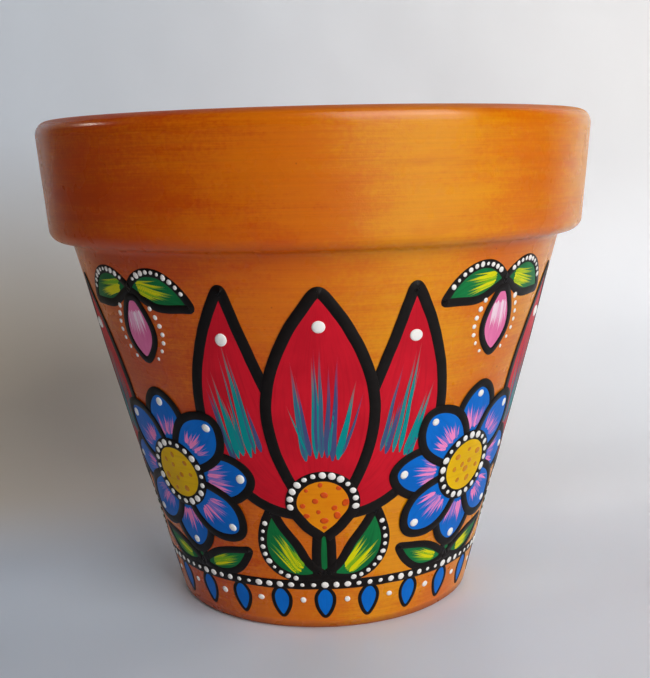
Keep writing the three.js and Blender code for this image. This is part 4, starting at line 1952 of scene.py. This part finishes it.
@dataclass
class FootBorder:
    """A beaded black line round the foot, with blue drops and small dots hanging from it."""

    brush: Brushwork
    drops: int = 24
    beads: int = 96
    line_height: float = 18.9 * MM

    def spaced(self, count: int, height: float, shift: float = 0.0, overlap: int = 0) -> list[Vector]:
        """Places evenly round the wall at one height up the slope.

        Args:
            count: How many places there are in one turn.
            height: Their height up the slope.
            shift: How far they move round, as a share of their spacing.
            overlap: How many places they go on for past the first one.

        Returns:
            The places, on the fan that the wall unrolls to.
        """
        sizes = self.brush.trees.sizes
        reach = sizes.foot_to_apex + height
        step = math.tau * math.sin(sizes.wall_slope) / count
        angles = [(i + shift) * step for i in range(count + overlap)]
        return [Vector((math.sin(a) * reach, math.cos(a) * reach - sizes.foot_to_apex)) for a in angles]

    def build(self) -> None:
        """Paint the border."""
        lay, trees = self.brush.lay, self.brush.trees
        kinds = ("drops", "drop_outlines", "line", "beads", "dots")
        fill, rims, line, beads, dots = (FlatDrawing(f"foot_border_{kind}") for kind in kinds)
        apex = Vector((0, -trees.sizes.foot_to_apex))
        step = math.tau * math.sin(trees.sizes.wall_slope) / self.drops
        drop = Blade(point(0, 17.6), point(0, 11), point(0, 4.9), 3.2 * MM, 0.35, 0.35, 0.8)
        for i in range(self.drops):
            blade = drop.turned(-i * step, apex)
            fill.blade(blade, Tier.FIRST.film, along=14, across=6)
            rims.outline(blade, Tier.FIRST.line)
        places = self.spaced(self.beads * 2, self.line_height, overlap=3)
        line.path(places, Tier.FIRST.line)
        for k, place in enumerate(self.spaced(self.beads, self.line_height)):
            beads.dot(place, fading(2.1 * MM, k, 6), Tier.FIRST.dot)
        for place in self.spaced(self.drops, 12.6 * MM, 0.5):
            dots.dot(place, 2.2 * MM, Tier.FIRST.dot)
        paint = lay(fill, trees.film, Paint.BLUE, 0.0, "blue")
        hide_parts("foot_border")
        lay(rims, trees.line, Paint.LINER, 0.0, "liner", Width=1.3 * MM, Softness=4)
        lay(line, trees.line, Paint.LINER, math.pi, "liner", Width=3.8 * MM, Unevenness=0.1)
        lay(beads, trees.dots, Paint.BEAD, 0.0, "bead_white", Seed=41)
        lay(dots, trees.dots, Paint.BEAD, 0.0, "bead_white", Seed=43)


# The studio


@dataclass
class Studio:
    """A pale sweep, soft lamps and the camera at the photographed angle."""

    camera_place: Vector = field(default_factory=lambda: Vector((0.0, -413.5, 163.1)) * MM)
    pitch: float = math.radians(9.51)
    yaw: float = math.radians(0.34)
    roll: float = math.radians(-1.43)
    focal_pixels: float = 1082.5
    frame_pixels: tuple[int, int] = (650, 678)
    sensor: float = 36.0

    def build(self) -> None:
        """Set up the camera, the sweep and the lamps."""
        scene = bpy.context.scene
        scene.view_settings.view_transform = "Standard"
        self._camera(scene)
        self._sweep()
        self._world(scene)
        self._lamps()

    def _camera(self, scene: bpy.types.Scene) -> None:
        """Place the camera, a little above the rim and close to the pot.

        Args:
            scene: The scene that looks through it.
        """
        data = bpy.data.cameras.new("camera")
        data.sensor_width = self.sensor
        data.sensor_fit = "AUTO"
        data.lens = self.focal_pixels * self.sensor / max(self.frame_pixels)
        data.clip_start = 0.01
        camera = bpy.data.objects.new("camera", data)
        forward = Vector(
            (
                math.sin(self.yaw) * math.cos(self.pitch),
                math.cos(self.yaw) * math.cos(self.pitch),
                -math.sin(self.pitch),
            )
        )
        level = forward.cross(Vector((0, 0, 1))).normalized()
        upright = level.cross(forward)
        right = level * math.cos(self.roll) + upright * math.sin(self.roll)
        up = upright * math.cos(self.roll) - level * math.sin(self.roll)
        turn = Matrix((right, up, -forward)).transposed().to_4x4()
        camera.matrix_world = Matrix.Translation(self.camera_place) @ turn
        scene.collection.objects.link(camera)
        scene.camera = camera

    def _sweep(self) -> None:
        """Lay a pale paper sweep that curves up behind the pot.

        From behind, from below and far from the pot it is clear to the camera, which sees the
        pale room through it.
        """
        width, front, back, radius, top = 3.6, -1.8, 0.3, 0.16, 1.6
        outline = [(front, 0.0), (back - radius, 0.0)]
        outline += [
            (back - radius + radius * math.sin(a), radius - radius * math.cos(a))
            for a in (math.pi / 2 * i / 16 for i in range(1, 17))
        ]
        outline.append((back, top))
        points = [(x, y, z) for y, z in outline for x in (-width / 2, width / 2)]
        faces = [(2 * i, 2 * i + 1, 2 * i + 3, 2 * i + 2) for i in range(len(outline) - 1)]
        mesh = bpy.data.meshes.new("paper_sweep")
        mesh.from_pydata(points, [], faces)
        for face in mesh.polygons:
            face.use_smooth = True
        sketch = FinishSketch("pale paper", Roughness=0.45, Specular_IOR_Level=0.4)
        path = sketch.add("ShaderNodeLightPath").outputs
        seen = path["Is Camera Ray"]
        mirrored = sketch.math("MAXIMUM", seen, path["Is Glossy Ray"])
        # Camera and reflections see painted light and shade; bounced light sees plain pale paper.
        painted_tone = self._paper_painted_light(sketch, seen)
        sketch.colour(sketch.blend(mirrored, linear(222, 224, 228), painted_tone))
        sketch.relief(sketch.noise(sketch.place, 5.0, 2.5, 0.5), 24 * MM, 0.6)
        behind = sketch.add("ShaderNodeNewGeometry").outputs["Backfacing"]
        x, y, _ = sketch.separate(sketch.place)
        squares = sketch.scaled(x, x, sketch.times(y, y))
        away = sketch.spread(sketch.math("SQRT", squares), 0.45, 0.95)
        hidden = sketch.math("MAXIMUM", behind, away)
        clear = sketch.add("ShaderNodeBsdfTransparent").outputs[0]
        share = sketch.times(seen, hidden)
        paper = sketch.add("ShaderNodeMixShader", {0: share, 1: sketch.shader.outputs[0], 2: clear})
        sketch.feed(sketch.tree.nodes["Material Output"].inputs["Surface"], paper.outputs[0])
        mesh.materials.append(sketch.material)
        sweep = bpy.data.objects.new("paper_sweep", mesh)
        bpy.context.scene.collection.objects.link(sweep)
        sweep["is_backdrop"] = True

    @staticmethod
    def _paper_painted_light(sketch: FinishSketch, seen: NodeSocket) -> NodeSocket:
        """Colour that is seen, with painted light on the right and painted shade on the left.

        Args:
            sketch: The paper's material.
            seen: Whether the camera sees the paper itself, and not its reflection.

        Returns:
            The colour. In reflections it is painted dark past both edges of the picture.
        """
        x, y, z = sketch.separate(sketch.place)
        right = sketch.spread(x, -0.3, 0.26)
        high = sketch.spread(z, 0.03, 0.2)
        back = sketch.spread(y, 0.0, 0.12)
        # Painted light on the right, brighter than paper can be; a warm painted shadow low on the left.
        left_wall = sketch.blend(high, (0.73, 0.645, 0.52, 1.0), (0.82, 0.9, 1.0, 1.0))
        right_wall = sketch.blend(high, (1.15, 1.2, 1.27, 1.0), (1.03, 1.03, 1.04, 1.0))
        wall = sketch.blend(right, left_wall, right_wall)
        open_floor = sketch.blend(right, (0.55, 0.65, 0.79, 1.0), (1.04, 1.1, 1.17, 1.0))
        corner = sketch.blend(
            sketch.spread(x, -0.05, 0.3), (0.34, 0.32, 0.29, 1.0), (1.05, 1.04, 1.02, 1.0)
        )
        # In reflections the floor in front is painted dark on the left.
        near = sketch.math("MAXIMUM", seen, sketch.spread(y, -0.5, -0.14))
        floor = sketch.blend(near, corner, open_floor)
        # In reflections the paper is painted dark past both edges of the picture.
        far_left = sketch.spread(x, -0.62, -0.26)
        far_right = sketch.times(back, sketch.spread(x, 0.62, 0.85))
        lit = sketch.math("MAXIMUM", seen, sketch.math("SUBTRACT", far_left, far_right))
        painted_tone = sketch.blend(lit, (0.13, 0.12, 0.11, 1.0), sketch.blend(back, floor, wall))
        # The camera sees the floor in front on the right painted dimmer.
        by_window = sketch.times(right, sketch.spread(y, -0.42, -0.13, 1.0, 0.0))
        dimmed = sketch.times(seen, by_window)
        return sketch.blend(dimmed, painted_tone, (0.44, 0.45, 0.47, 1.0))

    @staticmethod
    def _world(scene: bpy.types.Scene) -> None:
        """Fill the room with weak light. Where the camera sees it, the room is pale.

        Args:
            scene: The scene that the room is round.
        """
        world = bpy.data.worlds.new("room")
        world.use_nodes = True
        sketch = NodeSketch(world.node_tree)
        seen = sketch.add("ShaderNodeLightPath").outputs["Is Camera Ray"]
        colour = sketch.blend(seen, (0.052, 0.053, 0.058, 1.0), linear(208, 210, 214))
        background = world.node_tree.nodes["Background"]
        sketch.feed(background.inputs["Color"], colour)
        scene.world = world

    def _lamps(self) -> None:
        """Hang a broad window light on the right and a small far one on the left.

        The window's head only gives a glint along the lip.
        """
        self._lamp("window", 36, 23, 1.3, (1.1, 1.0), 14.0, (1.0, 0.985, 0.96))
        self._lamp("far_window", -99, 28, 0.9, (0.12, 0.06), 0.45, (1.0, 0.93, 0.82))
        glint = self._lamp("window_head", 40, 49, 1.2, (0.9, 0.6), 9.0, (1.0, 0.96, 0.96))
        glint.visible_diffuse = False

    @staticmethod
    def _lamp(
        name: str,
        azimuth: float,
        elevation: float,
        distance: float,
        size: tuple[float, float],
        watts: float,
        colour: tuple,
    ) -> Object:
        """Hang one area lamp that faces the middle of the pot.

        Args:
            name: The lamp's name.
            azimuth: Degrees round from the front to the right.
            elevation: Degrees above the pot's middle.
            distance: How far away it hangs.
            size: Its width and height.
            watts: Its power.
            colour: Its colour.

        Returns:
            The lamp.
        """
        aim = Vector((0.0, 0.0, 0.09))
        turn, rise = math.radians(azimuth), math.radians(elevation)
        level = Vector((math.sin(turn), -math.cos(turn), 0)) * math.cos(rise)
        place = aim + (level + Vector((0, 0, math.sin(rise)))) * distance
        data = bpy.data.lights.new(name, "AREA")
        data.shape = "RECTANGLE"
        data.size, data.size_y = size
        data.energy = watts
        data.color = colour
        lamp = bpy.data.objects.new(name, data)
        turn = (aim - place).to_track_quat("-Z", "Y").to_matrix().to_4x4()
        lamp.matrix_world = Matrix.Translation(place) @ turn
        bpy.context.scene.collection.objects.link(lamp)
        return lamp


def main() -> None:
    """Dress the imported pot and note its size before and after."""
    logging.basicConfig(level=logging.INFO, format="%(name)s: %(message)s")
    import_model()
    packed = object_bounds()
    sizes = PotSizes()
    groups = SurfaceGroups()
    trees = BrushTrees(sizes)
    Studio().build()
    body = PotBody(sizes, trees)
    clay = body.clay(ClayFinish().material(groups))
    coat = body.ground_coat(GroundFinish(sizes).material(groups))
    for piece, node, slot in ((clay, "clay_pot", "clay"), (coat, "ground_coat", "ground")):
        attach(piece, "root")
        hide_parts(node)
        log.info("%s: %d faces", piece.name, len(piece.data.polygons))
    brush = Brushwork(trees, PaintBox(groups))
    quarter = math.tau / REPEATS
    for i in range(REPEATS):
        Tulip(brush, i + 1, i * quarter).build()
        Rosette(brush, i + 1, (i + 0.5) * quarter).build()
        HangingBud(brush, i + 1, (i + 0.5) * quarter).build()
    FootBorder(brush).build()
    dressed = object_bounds()
    corners = {"cad": packed, "visual": dressed}
    plain = {name: [list(corner) for corner in pair] for name, pair in corners.items()}
    log.info("sizes %s", plain)


if __name__ == "__main__":
    main()
